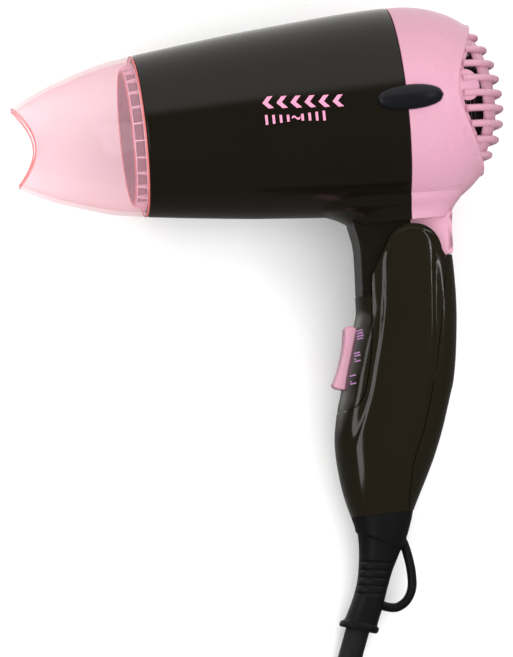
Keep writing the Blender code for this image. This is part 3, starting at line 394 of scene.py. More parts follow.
def tube(bm, route, radius, sides, width=1.0):
    """Round or flattened bar along a route."""
    rings = []
    side = None
    for i, point in enumerate(route):
        ahead = (route[min(i + 1, len(route) - 1)] - route[max(i - 1, 0)]).normalized()
        if side is None:
            side = Vector((0, 1, 0)) if abs(ahead.y) < 0.9 else Vector((0, 0, 1))
        other = ahead.cross(side).normalized()
        side = other.cross(ahead).normalized()
        rings.append([point + other * c * radius + side * s * radius * width for c, s in compass(sides)])
    loft(bm, rings)


def smoothstep(low, high, value):
    t = min(max((value - low) / (high - low), 0.0), 1.0)
    return t * t * (3 - 2 * t)


def barrel_radius(x):
    return at(BARREL_PROFILE, x)


# ---- cord
def cord_route():
    """Points of the whole lead: out of the boot, round the coil in two layers and off to the plug."""
    points = [Vector(p) for p in spline(LEAD_ROUTE, 24)]
    last = points[-1]
    entry = COIL_CENTRE + Vector((-COIL_RADII[0], 0.0, COIL_HEIGHTS[0]))
    for i in range(1, 12):
        t = i / 12
        points.append(last.lerp(entry, t) + Vector((-0.9 * math.sin(math.pi * t), 0, 0)))
    angle = COIL_FROM
    while angle < COIL_TO:
        turn = min(int((angle - COIL_FROM) // 360.0), 5)
        share = ((angle - COIL_FROM) % 360.0) / 360.0
        shift = smoothstep(0.80, 1.0, share)
        nxt = min(turn + 1, 5)
        r = COIL_RADII[turn] + (COIL_RADII[nxt] - COIL_RADII[turn]) * shift
        z = COIL_HEIGHTS[turn] + (COIL_HEIGHTS[nxt] - COIL_HEIGHTS[turn]) * shift
        if turn in (3, 4) and share > 0.74:
            z += 1.2 * math.sin(math.pi * (share - 0.74) / 0.26) ** 2
        if turn == 0 and share < 0.06:
            z = 4.5 + (z - 4.5) * smoothstep(0.0, 0.06, share)
        a = math.radians(angle)
        points.append(COIL_CENTRE + Vector((r * math.cos(a), r * math.sin(a), z)))
        angle += COIL_STEP
    tail = spline(TAIL_ROUTE, 30)
    for i in range(1, 10):
        t = i / 10
        a = math.radians(COIL_TO + (LEAVE_AT - COIL_TO) * t)
        r = COIL_RADII[-1] + (66.2 - COIL_RADII[-1]) * smoothstep(0.0, 1.0, t)
        z = COIL_HEIGHTS[-1] + (CORD_REST - COIL_HEIGHTS[-1]) * smoothstep(0.15, 1.0, t)
        points.append(COIL_CENTRE + Vector((r * math.cos(a), r * math.sin(a), z)))
    points += [COIL_CENTRE + p for p in tail]
    points.append(COIL_CENTRE + Vector((76.4, -20.0, 9.7)))
    length = sum((q - p).length for p, q in zip(points, points[1:]))
    return spline([tuple(p) for p in points], int(length / 3.2))


def make_cord(kinds):
    points = cord_route()
    curve = bpy.data.curves.new("mains_lead", "CURVE")
    curve.dimensions = "3D"
    curve.bevel_depth = CORD_RADIUS * MM
    curve.bevel_resolution = 5
    curve.use_fill_caps = True
    line = curve.splines.new("POLY")
    line.points.add(len(points) - 1)
    for knot, point in zip(line.points, points):
        knot.co = (*(point * MM), 1.0)
    curve.materials.append(kinds["cord"])
    made = bpy.data.objects.new("mains_lead", curve)
    bpy.context.scene.collection.objects.link(made)
    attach(made, "handle")
    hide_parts("mains_cord", "cord_coil", "cord_tail")
    plug, blades = make_plug(kinds)
    tie = make_tie(kinds)


def make_plug(kinds):
    origin = COIL_CENTRE + PLUG_PLACE
    widths = [(y, w) for y, w, h in PLUG]
    heights = [(y, h) for y, w, h in PLUG]
    rings = []
    for i in range(77):
        y = PLUG[-1][0] * i / 76
        w, h = at(widths, y), at(heights, y)
        if 1.5 < y < 18.0:
            groove = 0.5 * max(0.0, math.cos(2 * math.pi * y / 3.0)) ** 2
            w, h = w - groove, h - groove
        if y > 30:
            wave = smoothstep(0.0, 1.0, math.cos(2 * math.pi * (y - 40.0) / 4.0))
            h -= 0.5 * wave * smoothstep(31, 33, y) * (1 - smoothstep(47, 49, y))
        level = superellipse(0.0, w, h, 0.0, 2.5, 48)
        rings.append([(origin + Vector((p.x, y, p.y))) * MM for p in level])
    plug = lofted("plug_moulding", rings)
    done(plug, "handle", kinds["rubber"], "black_rubber", ["plug_body"], 40, True)
    blades = []
    front = PLUG[-1][0] + GAP
    for word, x in (("left", -6.35), ("right", 6.35)):
        bm = bmesh.new()
        outline = [(front - 1.0, -3.2), (front + 15.0, -3.2), (front + 16.1, -2.6), (front + 16.5, -1.6),
                   (front + 16.5, 1.6), (front + 16.1, 2.6), (front + 15.0, 3.2), (front - 1.0, 3.2)]
        loft(bm, [[(origin + Vector((x + t, y, z))) * MM for y, z in outline] for t in (-0.75, 0.75)])
        bmesh.ops.bevel(bm, geom=bm.edges[:], offset=0.15 * MM, segments=2, affect="EDGES")
        blade = rough("plug_pin_" + word, bm)
        centre = (origin + Vector((x, front + 12.5, 0.0))) * MM
        round_hole = [(1.6 * MM * c, 1.6 * MM * s) for c, s in compass(24)]
        hole = [[centre + Vector((t, y, z)) for y, z in round_hole] for t in (-0.002, 0.002)]
        combine(blade, lofted("hole", hole), "DIFFERENCE")
        blades.append(done(blade, "handle", kinds["brass"], "plated_brass", ["plug_blade_" + word], 30, True))
    return plug, blades


def make_tie(kinds):
    """Flat strap pulled round the coil's section, with a small buckle on the outside."""
    inner, outer, high = TIE_INNER, TIE_OUTER, TIE_HIGH
    corners = [(inner - 0.9, 3.0), (inner + 2.2, 0.45), (outer - 2.2, 0.45), (outer + 0.7, 3.0),
               (outer + 0.7, high - 2.0), (outer - 2.0, high + 0.3), (inner + 8.0, high + 0.3),
               (inner + 1.5, high - 1.2), (inner - 0.9, high - 5.0)]
    loop = [Vector((r, 0.0, z)) for r, z in corners]
    fine = spline([tuple(p) for p in loop + [loop[0]]], 60)[:-1]
    turn = Matrix.Translation(COIL_CENTRE) @ Matrix.Rotation(TIE_ANGLE, 4, "Z")
    rings = []
    for i, p in enumerate(fine):
        ahead = (fine[(i + 1) % len(fine)] - fine[i - 1]).normalized()
        out = Vector((ahead.z, 0.0, -ahead.x))
        ring = []
        for u, v in ((-5.5, -0.35), (-5.8, 0.0), (-5.5, 0.35), (5.5, 0.35), (5.8, 0.0), (5.5, -0.35)):
            ring.append((turn @ (p + out * v + Vector((0, u, 0)))) * MM)
        rings.append(ring)
    strap = lofted("tie_strap", rings, True)
    done(strap, "handle", kinds["dark"], "dark_plastic", ["cable_tie"], 40, True)
    place = Matrix.Scale(MM, 4) @ turn
    buckle = block("tie_buckle", (outer + 0.6, -4.5, 6.5), (outer + 2.6, 4.5, 12.5), 0.7, place)
    done(buckle, "handle", kinds["dark"], "dark_plastic", (), 40, True)
    return strap, buckle


# ---- barrel
def neck_outline(front):
    if front:
        edge = spline([(-21.8, 13.0), (-20.9, 9.0), (-20.1, 3.5), (-20.4, -5.0), (-21.0, -13.6)], 14)
        corner = [(-20.6, -14.9), (-19.4, -15.6), (-18.2, -15.0), (-16.9, -12.0), (-15.0, -6.5)]
        arc, tail = range(205, 272, 6), [(1.0, -10.65), (1.0, 13.0)]
    else:
        edge = spline([(14.6, 13.0), (13.9, 8.0), (13.5, 2.0), (13.3, -1.6)], 10)
        corner = [(12.9, -2.2), (10.5, -2.2)]
        arc, tail = range(340, 267, -6), [(-3.0, -10.27), (-3.0, 13.0)]
    rounded = [(10.7 * math.cos(math.radians(a)), 10.7 * math.sin(math.radians(a))) for a in arc]
    return [(p[0], p[1]) for p in edge] + corner + rounded + tail


def collar_object():
    """Collar under the barrel, swelling where it runs into the barrel so that the two flow together."""
    rows = spline(COLLAR + [(24.5, -42.0, 20.6, 18.2)], 34)
    rings = []
    for z, front, back, half in rows:
        swell = 3.4 * math.exp(-((z - 19.6) / 4.4) ** 2)
        back += 2.6 * math.exp(-((z - 23.5) / 3.4) ** 2)
        depth = (back - front) / 2 + 0.35 * swell
        rings.append(superellipse((front + back) / 2, depth, half + swell, z, 2.9, 128))
    return lofted("collar", rings)


def neck_object(front):
    bm = bmesh.new()
    prism(bm, neck_outline(front)[::1 if front else -1], 10.5)
    sides = [e for e in bm.edges if abs(e.verts[0].co.y - e.verts[1].co.y) < 0.1]
    bmesh.ops.bevel(bm, geom=sides, offset=0.5, segments=3, affect="EDGES", clamp_overlap=True)
    return rough("neck", bm)


def block(name, low, high, bevel=0.0, place=Matrix()):
    """Box between two corners, with bevelled edges if asked, then put in place."""
    bm = bmesh.new()
    bmesh.ops.create_cube(bm, size=1.0)
    bmesh.ops.scale(bm, vec=[b - a for a, b in zip(low, high)], verts=bm.verts)
    if bevel:
        bmesh.ops.bevel(bm, geom=bm.edges[:], offset=bevel, segments=3, affect="EDGES")
    bmesh.ops.translate(bm, vec=[(a + b) / 2 for a, b in zip(low, high)], verts=bm.verts)
    bmesh.ops.transform(bm, matrix=place, verts=bm.verts)
    return rough(name, bm)


def hinge_bore(half):
    return turned_across("bore", [(-half, BORE_RADIUS), (half, BORE_RADIUS)], 32)


def make_barrel(kinds):
    """Black front half: a turned shell with the front of the collar and neck run into it."""
    seam = SEAM_X - GAP / 2
    mouth, end = barrel_radius(RIM_X), barrel_radius(seam)
    first, last = RIM_X + 1.5, seam - 0.5
    outer = [(RIM_X + 0.2 * i, mouth - 0.5 + 0.5 * math.sin(math.pi / 2 * i / 3)) for i in range(4)]
    outer += [(x, barrel_radius(x)) for x in (first + (last - first) * i / 44 for i in range(45))]
    outer += [(seam - 0.2, end - 0.05), (seam, end - 0.35)]
    shell = turned("barrel_body", outer + [(seam, 0.001), (RIM_X, 0.001)], 144)
    combine(shell, collar_object(), "UNION")
    combine(shell, neck_object(True), "UNION")
    combine(shell, block("cut", (seam, -60, -30), (60, 60, 120)), "DIFFERENCE")
    first, last = seam - 1, RIM_X + 1
    wall = [(x, barrel_radius(x) - BARREL_WALL) for x in (first + (last - first) * i / 20 for i in range(21))]
    bore = [(RIM_X - 3, mouth - 1.9)] + wall[::-1] + [(seam + 3, end - BARREL_WALL)]
    combine(shell, turned("bore", bore + [(seam + 3, 0.001), (RIM_X - 3, 0.001)], 96), "DIFFERENCE")
    combine(shell, block("cut", (-9, -5, -14), (4, 5, 22)), "DIFFERENCE")
    combine(shell, hinge_bore(20.0), "DIFFERENCE")
    return done(shell, "barrel", kinds["black"], "gloss_black", ["barrel_shell"], 28)


def grille_reach(z):
    """Half width of the intake's opening at a height above the barrel's axis."""
    t = (z - GRILLE_LIFT) / GRILLE_TALL
    return GRILLE_HALF * math.sqrt(max(1 - t * t, 0.0))


def make_rear_cover(kinds):
    """Pink back half: a shell from the seam to the intake's rolled lip, with a sunken band inside the lip."""
    seam = SEAM_X + GAP / 2
    dome = spline([(seam, barrel_radius(seam))] + BARREL_PROFILE[7:], 400)
    run = [0.0]
    for p, q in zip(dome, dome[1:]):
        run.append(run[-1] + (q - p).length)

    def skin(s, lift):
        s = min(max(s, 0.0), run[-1])
        k = min(int(s / run[-1] * 399), 398)
        p, q = dome[k], dome[k + 1]
        along = (dome[min(k + 2, 399)] - dome[max(k - 1, 0)]).normalized()
        point = p.lerp(q, min(max((s - run[k]) / (run[k + 1] - run[k]), 0.0), 1.0))
        return point + Vector((-along.y, along.x)) * math.copysign(lift, lift * along.x)

    def reach(radius):
        k = next(i for i, p in enumerate(dome) if p.y <= radius and i > 60)
        return run[k]

    rings = []
    for c, s in compass(192):
        qa, qb = (c / GRILLE_HALF) ** 2 + (s / GRILLE_TALL) ** 2, -2 * s * GRILLE_LIFT / GRILLE_TALL ** 2
        end = reach((-qb + math.sqrt(qb * qb - 4 * qa * ((GRILLE_LIFT / GRILLE_TALL) ** 2 - 1))) / (2 * qa))
        line = [(0.0, -0.35), (0.15, -0.08)] + [(0.5 + (end - 2.2) * k / 22, 0.0) for k in range(23)]
        line += [(end + ahead, lift) for ahead, lift in COVER_LIP]
        line += [(end - 0.5 - (end - 0.5) * k / 10, -2.7 + 0.4 * k / 10) for k in range(11)]
        ring = []
        for station, lift in line:
            p = skin(station, lift)
            x = max(p.x, seam) if station < 1.0 else p.x
            ring.append(Vector((seam if station == 0.0 else x, p.y * c, AXIS_Z + p.y * s)))
        rings.append(ring)
    bm = bmesh.new()
    loft(bm, rings, closed=True)
    tuck(bm)
    cover = rough("cover_body", bm)
    foot = collar_object()
    combine(foot, neck_object(False), "UNION")
    combine(foot, block("cut", (-60, -60, -30), (seam, 60, 120)), "DIFFERENCE")
    inside = [(seam - 3, 35.4), (8.0, 35.2), (14.0, 34.2), (22.0, 31.0), (22.0, 0.001), (seam - 3, 0.001)]
    combine(foot, turned("bore", inside, 96), "DIFFERENCE")
    combine(cover, foot, "UNION")
    combine(cover, block("cut", (-7, -5, -14), (8, 5, 22)), "DIFFERENCE")
    combine(cover, hinge_bore(20.0), "DIFFERENCE")
    done(cover, "barrel", kinds["pink"], "pink_plastic", ["rear_cover"], 28)
    make_intake_ribs(kinds, [(p.x, p.y) for p in dome])


def dome_x(dome, radius):
    """Where along the barrel the dome's outer skin has this radius."""
    pairs = sorted((r, x) for x, r in dome)
    lower = [p for p in pairs if p[0] <= radius] or [pairs[0]]
    upper = [p for p in pairs if p[0] > radius] or [pairs[-1]]
    (r0, x0), (r1, x1) = lower[-1], upper[0]
    return x0 if r1 <= r0 else x0 + (x1 - x0) * (radius - r0) / (r1 - r0)


def tuck(bm):
    """Draw the back's lower half slightly in, as it is fuller above than below."""
    for v in bm.verts:
        low = smoothstep(6.0, 26.0, AXIS_Z - v.co.z)
        v.co.x -= 1.9 * low * smoothstep(12.0, 30.0, v.co.x)


def make_intake_ribs(kinds, dome):
    """Rounded fins bowed round the back, joined by two sunken upright bars, and a boss at each side."""
    for row, z in enumerate(RIB_HEIGHTS):
        reach = grille_reach(z) - 2.2
        route = []
        for i in range(61):
            y = reach * math.sin(math.pi / 2 * (-1 + 2 * i / 60))
            edge = smoothstep(0.0, 5.0, reach - abs(y))
            route.append(Vector((dome_x(dome, math.hypot(y, z)) - 3.1 + 0.95 * edge, y, AXIS_Z + z)))
        rings = []
        for i, p in enumerate(route):
            ahead = (route[min(i + 1, 60)] - route[max(i - 1, 0)]).normalized()
            out = Vector((ahead.y, -ahead.x, 0.0)).normalized()
            rings.append([p + out * 2.15 * math.copysign(abs(c) ** 0.8, c)
                          + Vector((0, 0, 1.3 * math.copysign(abs(s) ** 0.85, s))) for c, s in compass(20)])
        bm = bmesh.new()
        loft(bm, rings)
        tuck(bm)
        done(rough(f"intake_rib_{row + 1}", bm), "barrel", kinds["pink"], "pink_plastic", (), 50)
    for side, word in ((-1, "left"), (1, "right")):
        bm = bmesh.new()
        rings = []
        for i in range(49):
            z = -23.5 + 49.0 * i / 48
            share = math.sqrt(max(1 - (z / 29.0) ** 2, 0.0))
            ring = []
            for c, s in compass(32):
                y = side * (17.6 * share + 0.8) + 4.3 * math.copysign(abs(s) ** 0.5, s)
                x = dome_x(dome, math.hypot(y, z)) - 3.3 + 1.2 * math.copysign(abs(c) ** 0.5, c)
                ring.append(Vector((x, y, AXIS_Z + z)))
            rings.append(ring)
        loft(bm, rings)
        tuck(bm)
        done(rough("intake_bar_" + word, bm), "barrel", kinds["pink"], "pink_plastic", (), 50)
        bm = bmesh.new()
        bmesh.ops.create_uvsphere(bm, u_segments=40, v_segments=24, radius=1.0)
        facing = Vector((0.45, side * 0.88, 0.12)).to_track_quat("Z", "Y").to_matrix().to_4x4()
        shape = (Matrix.Translation((21.7, side * 29.6, AXIS_Z + 5.0)) @ facing
                 @ Matrix.Diagonal((5.6, 5.8, 1.5, 1.0)))
        bmesh.ops.transform(bm, matrix=shape, verts=bm.verts)
        done(rough("intake_boss_" + word, bm), "barrel", kinds["pink"], "pink_plastic", (), 50)


def make_trim(kinds):
    """Soft oval pads astride the barrel's seam, one on each side."""
    half_length, half_height, centre_x, centre_z = 12.1, 4.5, 0.2, 53.3
    for side, word in ((-1, "left"), (1, "right")):
        rings = []
        for k in range(25):
            u = -1 + 2 * k / 24
            ring = []
            w = math.sqrt(max(1 - u * u, 0.0004)) ** 0.85
            x = centre_x + half_length * u
            for c, s in compass(32):
                rise = 2.35 * w * s
                z = centre_z + half_height * w * c
                r = math.sqrt(max(barrel_radius(x) ** 2 - (z - AXIS_Z) ** 2, 1.0))
                ring.append((x, side * (r + 0.15 + max(rise, -0.5)), z))
            rings.append(ring)
        pad = lofted("side_pad_" + word, rings)
        done(pad, "barrel", kinds["pad"], "black_rubber", ["side_trim_" + word], 50)


def make_screen(kinds):
    """Wire mesh behind the intake ribs, and a near-black sheet behind it: painted shade of the dryer's dark
    inside.
    """
    profile = [(-1.0, 36.0), (6.0, 34.0), (16.0, 30.0), (24.0, 24.0), (29.0, 17.5), (32.0, 10.0), (33.2, 3.0)]
    dome = [(x, r) for x, r in spline(profile, 24) if x >= 15.0]
    bm = bmesh.new()
    for c, s in compass(72):
        tube(bm, [Vector((x, r * c, AXIS_Z + r * s)) for x, r in dome], 0.22, 4)
    for x, r in dome:
        tube(bm, [Vector((x, r * c, AXIS_Z + r * s)) for c, s in compass(60) + [(1.0, 0.0)]], 0.22, 4)
    done(rough("mesh_wires", bm), "barrel", kinds["steel"], "steel", ["intake_screen"], 60)
    # A near-black sheet just inside the wires: painted shade standing in for the dryer's dark inside.
    inside = [(x - 1.6, max(r - 1.2, 0.05)) for x, r in dome]
    outside = [(x - 2.0, max(r - 1.6, 0.02)) for x, r in dome]
    backing = turned("painted_shade_backing", inside + outside[::-1], 72)
    done(backing, "barrel", kinds["hollow"], "dark_plastic", (), 60)


def nozzle_ring(x, rz, ry, exponent, hollow, inset):
    """Section of the nozzle, bent back in its middle by hollow and drawn in by inset."""
    ring = []
    for c, s in compass(96):
        scale = (abs(c) ** exponent + abs(s) ** exponent) ** (-1 / exponent)
        z = rz * s * scale
        shift = hollow * (1 - (z / rz) ** 2)
        k = 1 - inset / max(math.hypot(ry * c * scale, z), 0.1)
        ring.append(Vector((x + shift, ry * c * scale * k, AXIS_Z + z * k)))
    return ring


def make_nozzle(kinds):
    rows = [tuple(r) for r in spline(NOZZLE, 40)]
    outer = [nozzle_ring(*r, 0.0) for r in rows]
    inner = [nozzle_ring(*r, 1.5) for r in rows]
    lip = [nozzle_ring(rows[-1][0] - 0.2, *rows[-1][1:], 0.75)]
    collar_out = [nozzle_ring(x, 26.2, 26.2, 2.0, 0.0, 0.0) for x in (-93.9, -92.0, -90.0, -88.0)]
    collar_in = [nozzle_ring(x, 24.9, 24.9, 2.0, 0.0, 0.0) for x in (-88.0, -90.0, -92.0, -94.1)]
    wall = lofted("nozzle_body", outer + lip + inner[:0:-1] + collar_in[::-1] + collar_out[::-1], True)
    done(wall, "nozzle", kinds["clear"], "clear_pink", ["nozzle"], 40)
    for word, inset, thick in (("outer", 0.25, 0.17), ("inner", 1.25, 0.17)):
        loop = nozzle_ring(rows[-1][0] - 0.12, *rows[-1][1:], inset)
        mouth = bead("nozzle_mouth_edge_" + word, loop, thick)
        done(mouth, "nozzle", kinds["clear_rim"], "clear_pink", (), 50)
    profile = [(-94.1, 29.0), (-94.35, 29.1), (-94.6, 28.98), (-94.5, 28.5), (-94.15, 28.5)]
    done(turned("nozzle_base_edge", profile, 120), "nozzle", kinds["clear_rim"], "clear_pink", (), 50)
    make_nozzle_sleeve(kinds)


def bead(name, loop, radius):
    """Thin closed bead along a loop of points."""
    rings = []
    for i, p in enumerate(loop):
        ahead = (loop[(i + 1) % len(loop)] - loop[i - 1]).normalized()
        side = ahead.cross(Vector((-1, 0, 0))).normalized()
        out = side.cross(ahead).normalized()
        rings.append([p + out * c * radius + side * s * radius for c, s in compass(8)])
    return lofted(name, rings, True)


def make_nozzle_sleeve(kinds):
    """Sleeve in the nozzle's base, dark red as painted shade of the barrel's inside seen through it, its front
    edge painted bright red as a glow, and the clear ribs and hoops round it.
    """
    # The sleeve's dark red is painted shade: the barrel's dark inside as seen through the nozzle's base.
    profile = [(-93.2, 24.4), (-98.1, 24.3), (-98.3, 24.0), (-98.1, 23.6), (-93.2, 23.5)]
    done(turned("nozzle_inner_sleeve", profile, 120), "nozzle", kinds["sleeve"], "clear_pink", (), 50)
    # A bead painted bright red along the sleeve's front edge: a painted glow of light caught in the edge.
    edge = bead("nozzle_sleeve_glow_edge", nozzle_ring(-98.35, 24.1, 24.1, 2.0, 0.0, 0.0), 0.24)
    done(edge, "nozzle", kinds["glow"], "clear_pink", (), 50)
    for word, x, r in (("front", -98.0, 25.0), ("back", -94.5, 26.4)):
        hoop = bead("nozzle_hoop_" + word, nozzle_ring(x, r, r, 2.0, 0.0, 0.0), 0.2)
        done(hoop, "nozzle", kinds["tooth"], "clear_pink", (), 50)
    outline = [(-98.2, 24.5), (-98.2, 25.1), (-97.6, 25.5), (-96.4, 25.75), (-94.4, 26.5), (-94.2, 26.3),
               (-94.2, 24.5)]
    for k in range(TEETH):
        a = 2 * math.pi * (k + 0.5) / TEETH
        bm = bmesh.new()
        loft(bm, [[Vector((x, r, t)) for x, r in outline] for t in (-0.24, 0.24)])
        bmesh.ops.bevel(bm, geom=bm.edges[:], offset=0.08, segments=2, affect="EDGES")
        turn = Matrix.Translation((0, 0, AXIS_Z)) @ Matrix.Rotation(a, 4, "X")
        bmesh.ops.transform(bm, matrix=turn, verts=bm.verts)
        done(rough(f"nozzle_tooth_{k + 1}", bm), "nozzle", kinds["tooth"], "clear_pink", (), 40)


# ---- handle
def signed_side(line, x, z):
    """Distance in front of a downward line, positive towards the nozzle side."""
    best, sign = 1e9, 1.0
    for (ax, az), (bx, bz) in zip(line, line[1:]):
        dx, dz = bx - ax, bz - az
        t = min(max(((x - ax) * dx + (z - az) * dz) / (dx * dx + dz * dz), 0.0), 1.0)
        d = math.hypot(x - ax - t * dx, z - az - t * dz)
        if d < best:
            best = d
            sign = 1.0 if dx * (z - az) - dz * (x - ax) < 0 else -1.0
    return best * sign


PANEL_FRONT_FINE = [(p[0], p[1]) for p in spline(PANEL_FRONT, 30)]
PANEL_BACK_FINE = [(p[0], p[1]) for p in spline(PANEL_BACK, 30)]


def outside_panel(x, z):
    """How far a side-view point lies outside the raised panel; negative inside it."""
    if z > 1.0:
        return (math.hypot((x + 1.9) / 8.7, (z + 0.4) / 8.6) - 1.0) * 8.6
    ahead = signed_side(PANEL_FRONT_FINE, x, z)
    behind = -signed_side(PANEL_BACK_FINE, x, z)
    return max(ahead, behind)


def handle_body(inset, low, high, relief):
    """Loft of the whole grip; the relief is the raised panel on each side, which fades out above the boot."""
    rows = spline(HANDLE, 180)
    rings = []
    for i, (z, front, back, half) in enumerate(rows):
        level = z - (low if i == 0 else 0.0) + (high if i == len(rows) - 1 else 0.0)
        depth = (back - front) / 2 - inset
        ring = superellipse((front + back) / 2, depth, half - inset, level, 2.7, 192 if relief else 64)
        if relief:
            for p in ring:
                d = outside_panel(p.x, p.z)
                side = smoothstep(2.0, 8.0, abs(p.y))
                fade = smoothstep(-80.0, -60.0, p.z)
                drop = 1.3 * smoothstep(0.0, 7.0, d) * fade
                lift = 0.35 * (1 - smoothstep(-0.7, 0.7, d)) * fade
                p.y += math.copysign((lift - drop) * side, p.y)
        rings.append(ring)
    return rings


def handle_part(name, outline):
    """The hollow grip, cut to a side-view outline."""
    made = lofted(name, handle_body(0.0, 0.0, 0.0, True))
    combine(made, lofted("hollow", handle_body(HANDLE_WALL, 5.0, 5.0, False)), "DIFFERENCE")
    bm = bmesh.new()
    prism(bm, outline, 30.0)
    return combine(made, rough("outline", bm), "INTERSECT")


def neck_sweep():
    """Room that the handle leaves for the barrel's neck to swing in."""
    return turned_across("sweep", [(-10.8, 25.5), (10.8, 25.5)], 96)


def make_handle(kinds):
    half = GAP / 2
    front_fine = [(p[0], p[1]) for p in spline(PLATE_SEAM, 40)]
    back_fine = [(p[0], p[1]) for p in spline(BACK_SEAM, 40)]
    angles = [math.radians(a) for a in range(0, 149, 4)]
    arc = [(10.3 * math.cos(a) - 1.3, 10.3 * math.sin(a) - 0.6) for a in angles]
    arc += [(-10.1, 4.6), (-13.4, -1.0), (-16.9, -7.2), (-17.5, -10.5)]
    front = [(x + half, z - half) for x, z in front_fine]
    back = [(x - half, z) for x, z in back_fine]
    shell = handle_part("handle_body", arc + front + [(-45, -95)] + back[::-1])
    for y0, y1 in ((-14.0, -11.6), (11.6, 14.0)):
        combine(shell, turned_across("boss", [(y0, 7.2), (y1, 7.2)], 48), "UNION")
    combine(shell, hinge_bore(14.4), "DIFFERENCE")
    combine(shell, neck_sweep(), "DIFFERENCE")
    done(shell, "handle", kinds["brown"], "gloss_black", ["handle_shell"], 26)
    line = [(x - half, z + half) for x, z in front_fine]
    line[0] = (line[0][0], -14.3)
    plate = handle_part("switch_panel", line + [(-45, -14.3)])
    combine(plate, neck_sweep(), "DIFFERENCE")
    combine(plate, block("slot", (-6.0, -1.9, -6.9), (9.0, 1.9, 6.9), 0.0, SLIDE_PLACE), "DIFFERENCE")
    done(plate, "handle", kinds["brown"], "gloss_black", ["switch_plate"], 26)
    back_line = [(x + half, z) for x, z in back_fine]
    cover = handle_part("back_panel", back_line + [(40, -95), (40, -2.6)])
    done(cover, "handle", kinds["brown"], "gloss_black", ["handle_back_cover"], 26)
    return plate


def make_slider(kinds):
    """Thumb slider: a bowed pink bar with a raised ridge at each end."""
    length, width = 11.5, 5.0
    face = [(-0.5, 1.0), (-2.2, 1.0), (-3.1, 0.97), (-3.65, 0.88), (-3.5, 0.78), (-3.1, 0.55),
            (-2.8, 0.25), (-2.7, 0.0), (-2.85, -0.3), (-3.2, -0.6), (-3.65, -0.82), (-3.85, -0.9),
            (-3.4, -0.97), (-2.2, -1.0), (-0.5, -1.0)]
    side = spline(face, 70)
    rings = []
    for k in range(29):
        v = -1 + 2 * k / 28
        edge = (1 - abs(v) ** 5) ** 0.35 if abs(v) < 1 else 0.0
        grow = 0.62 + 0.38 * edge
        sink = 1.1 * v * v
        rings.append([Vector((-0.5 + (p[0] + 0.5) * grow + (sink if p[0] > -0.9 else 0.0), v * width,
                              p[1] * length * (0.97 + 0.03 * edge))) for p in side])
    bm = bmesh.new()
    loft(bm, rings)
    bmesh.ops.transform(bm, matrix=SLIDE_PLACE, verts=bm.verts)
    button = rough("thumb_slider", bm)
    combine(button, block("stem", (-1.2, -1.5, -2.5), (5.4, 1.5, 2.5), 0.0, SLIDE_PLACE), "UNION")
    done(button, "slider", kinds["pink"], "pink_plastic", ["slide_button"], 40)


def patch(name, shape, target, material, body):
    """Printed marks: rows of points are dropped on a surface from the side and given a hair's thickness."""
    tree = BVHTree.FromObject(target, bpy.context.evaluated_depsgraph_get())
    to_own = TO_WORLD.inverted()
    turn_back = REST.to_3x3().inverted()
    ahead = (REST.to_3x3() @ Vector((0, 1, 0))).normalized()
    bm = bmesh.new()
    for rows in shape:
        top, bottom = [], []
        for row in rows:
            up, down = [], []
            for x, z in row:
                hit, normal = tree.ray_cast(TO_WORLD @ Vector((x, -80.0, z)), ahead)[:2]
                spot = to_own @ hit
                lean = (turn_back @ normal).normalized()
                if lean.y > 0:
                    lean = -lean
                up.append(bm.verts.new(spot + lean * PRINT_RISE))
                down.append(bm.verts.new(spot - lean * PRINT_DEPTH))
            top.append(up)
            bottom.append(down)
        last = len(rows) - 1
        for a in range(last):
            for i in range(len(rows[0]) - 1):
                bm.faces.new((top[a][i], top[a][i + 1], top[a + 1][i + 1], top[a + 1][i]))
                bm.faces.new((bottom[a][i], bottom[a + 1][i], bottom[a + 1][i + 1], bottom[a][i + 1]))
            for i in (0, -1):
                bm.faces.new((top[a][i], top[a + 1][i], bottom[a + 1][i], bottom[a][i]))
        for i in range(len(rows[0]) - 1):
            for a in (0, last):
                bm.faces.new((top[a][i], bottom[a][i], bottom[a][i + 1], top[a][i + 1]))
    done(rough(name, bm), body, material, "pink_plastic", (), 50)


def bar(x0, z0, x1, z1, width):
    """Rows of points filling a straight printed bar."""
    return [[(x0 + (x1 - x0) * i / 4, z0 + (z1 - z0) * i / 4 + width * (k - 1) / 2) for i in range(5)]
            for k in range(3)]


def make_prints(kinds, barrel, plate):
    """Plain air-flow chevrons and a row of heat bars on the barrel, and level marks by the slider."""
    shapes = []
    for k in range(6):
        x = -52.3 + 4.95 * k
        z = 56.5 - 0.08 * (x + 52.3)
        for sign in (1, -1):
            rows = [[(x + 0.95 * j + 0.5 * i, z + sign * 2.15 * i / 4) for i in range(5)] for j in range(3)]
            shapes.append(rows[::sign])
    patch("air_chevrons", shapes, barrel, kinds["ink"], "barrel")
    shapes = []
    for k in (0, 1, 2, 3, 5, 6, 7, 8):
        x = -51.9 + 2.55 * k
        z = 50.4 - 0.03 * (x + 51.9)
        tall = 1.3 + 0.22 * abs(k - 4)
        shapes.append([[(x + 0.9 * i, z + tall * (j / 2 - 0.5) * 1.6) for i in range(2)] for j in range(3)])
    shapes.append([[(-42.5 + 3.0 * i / 10, 50.1 + 0.5 * math.sin(2 * math.pi * i / 10) + 0.7 * (j / 2 - 0.5))
                    for i in range(11)] for j in range(3)])
    patch("heat_bars", shapes, barrel, kinds["ink"], "barrel")
    shapes = []
    for k, (x, z) in enumerate(((-23.4, -28.0), (-25.3, -35.9), (-27.7, -43.8))):
        for j in range(3 - k):
            shapes.append(bar(x - 0.8, z + 1.4 - 0.95 * j, x + 1.0, z + 1.6 - 0.95 * j, 0.5))
        shapes.append(bar(x - 1.1, z - 1.5, x + 0.8, z - 1.3, 0.45))
        shapes.append(bar(x - 1.0, z - 0.65, x - 0.5, z - 0.6, 0.45))
    patch("level_marks", shapes, plate, kinds["mark"], "handle")


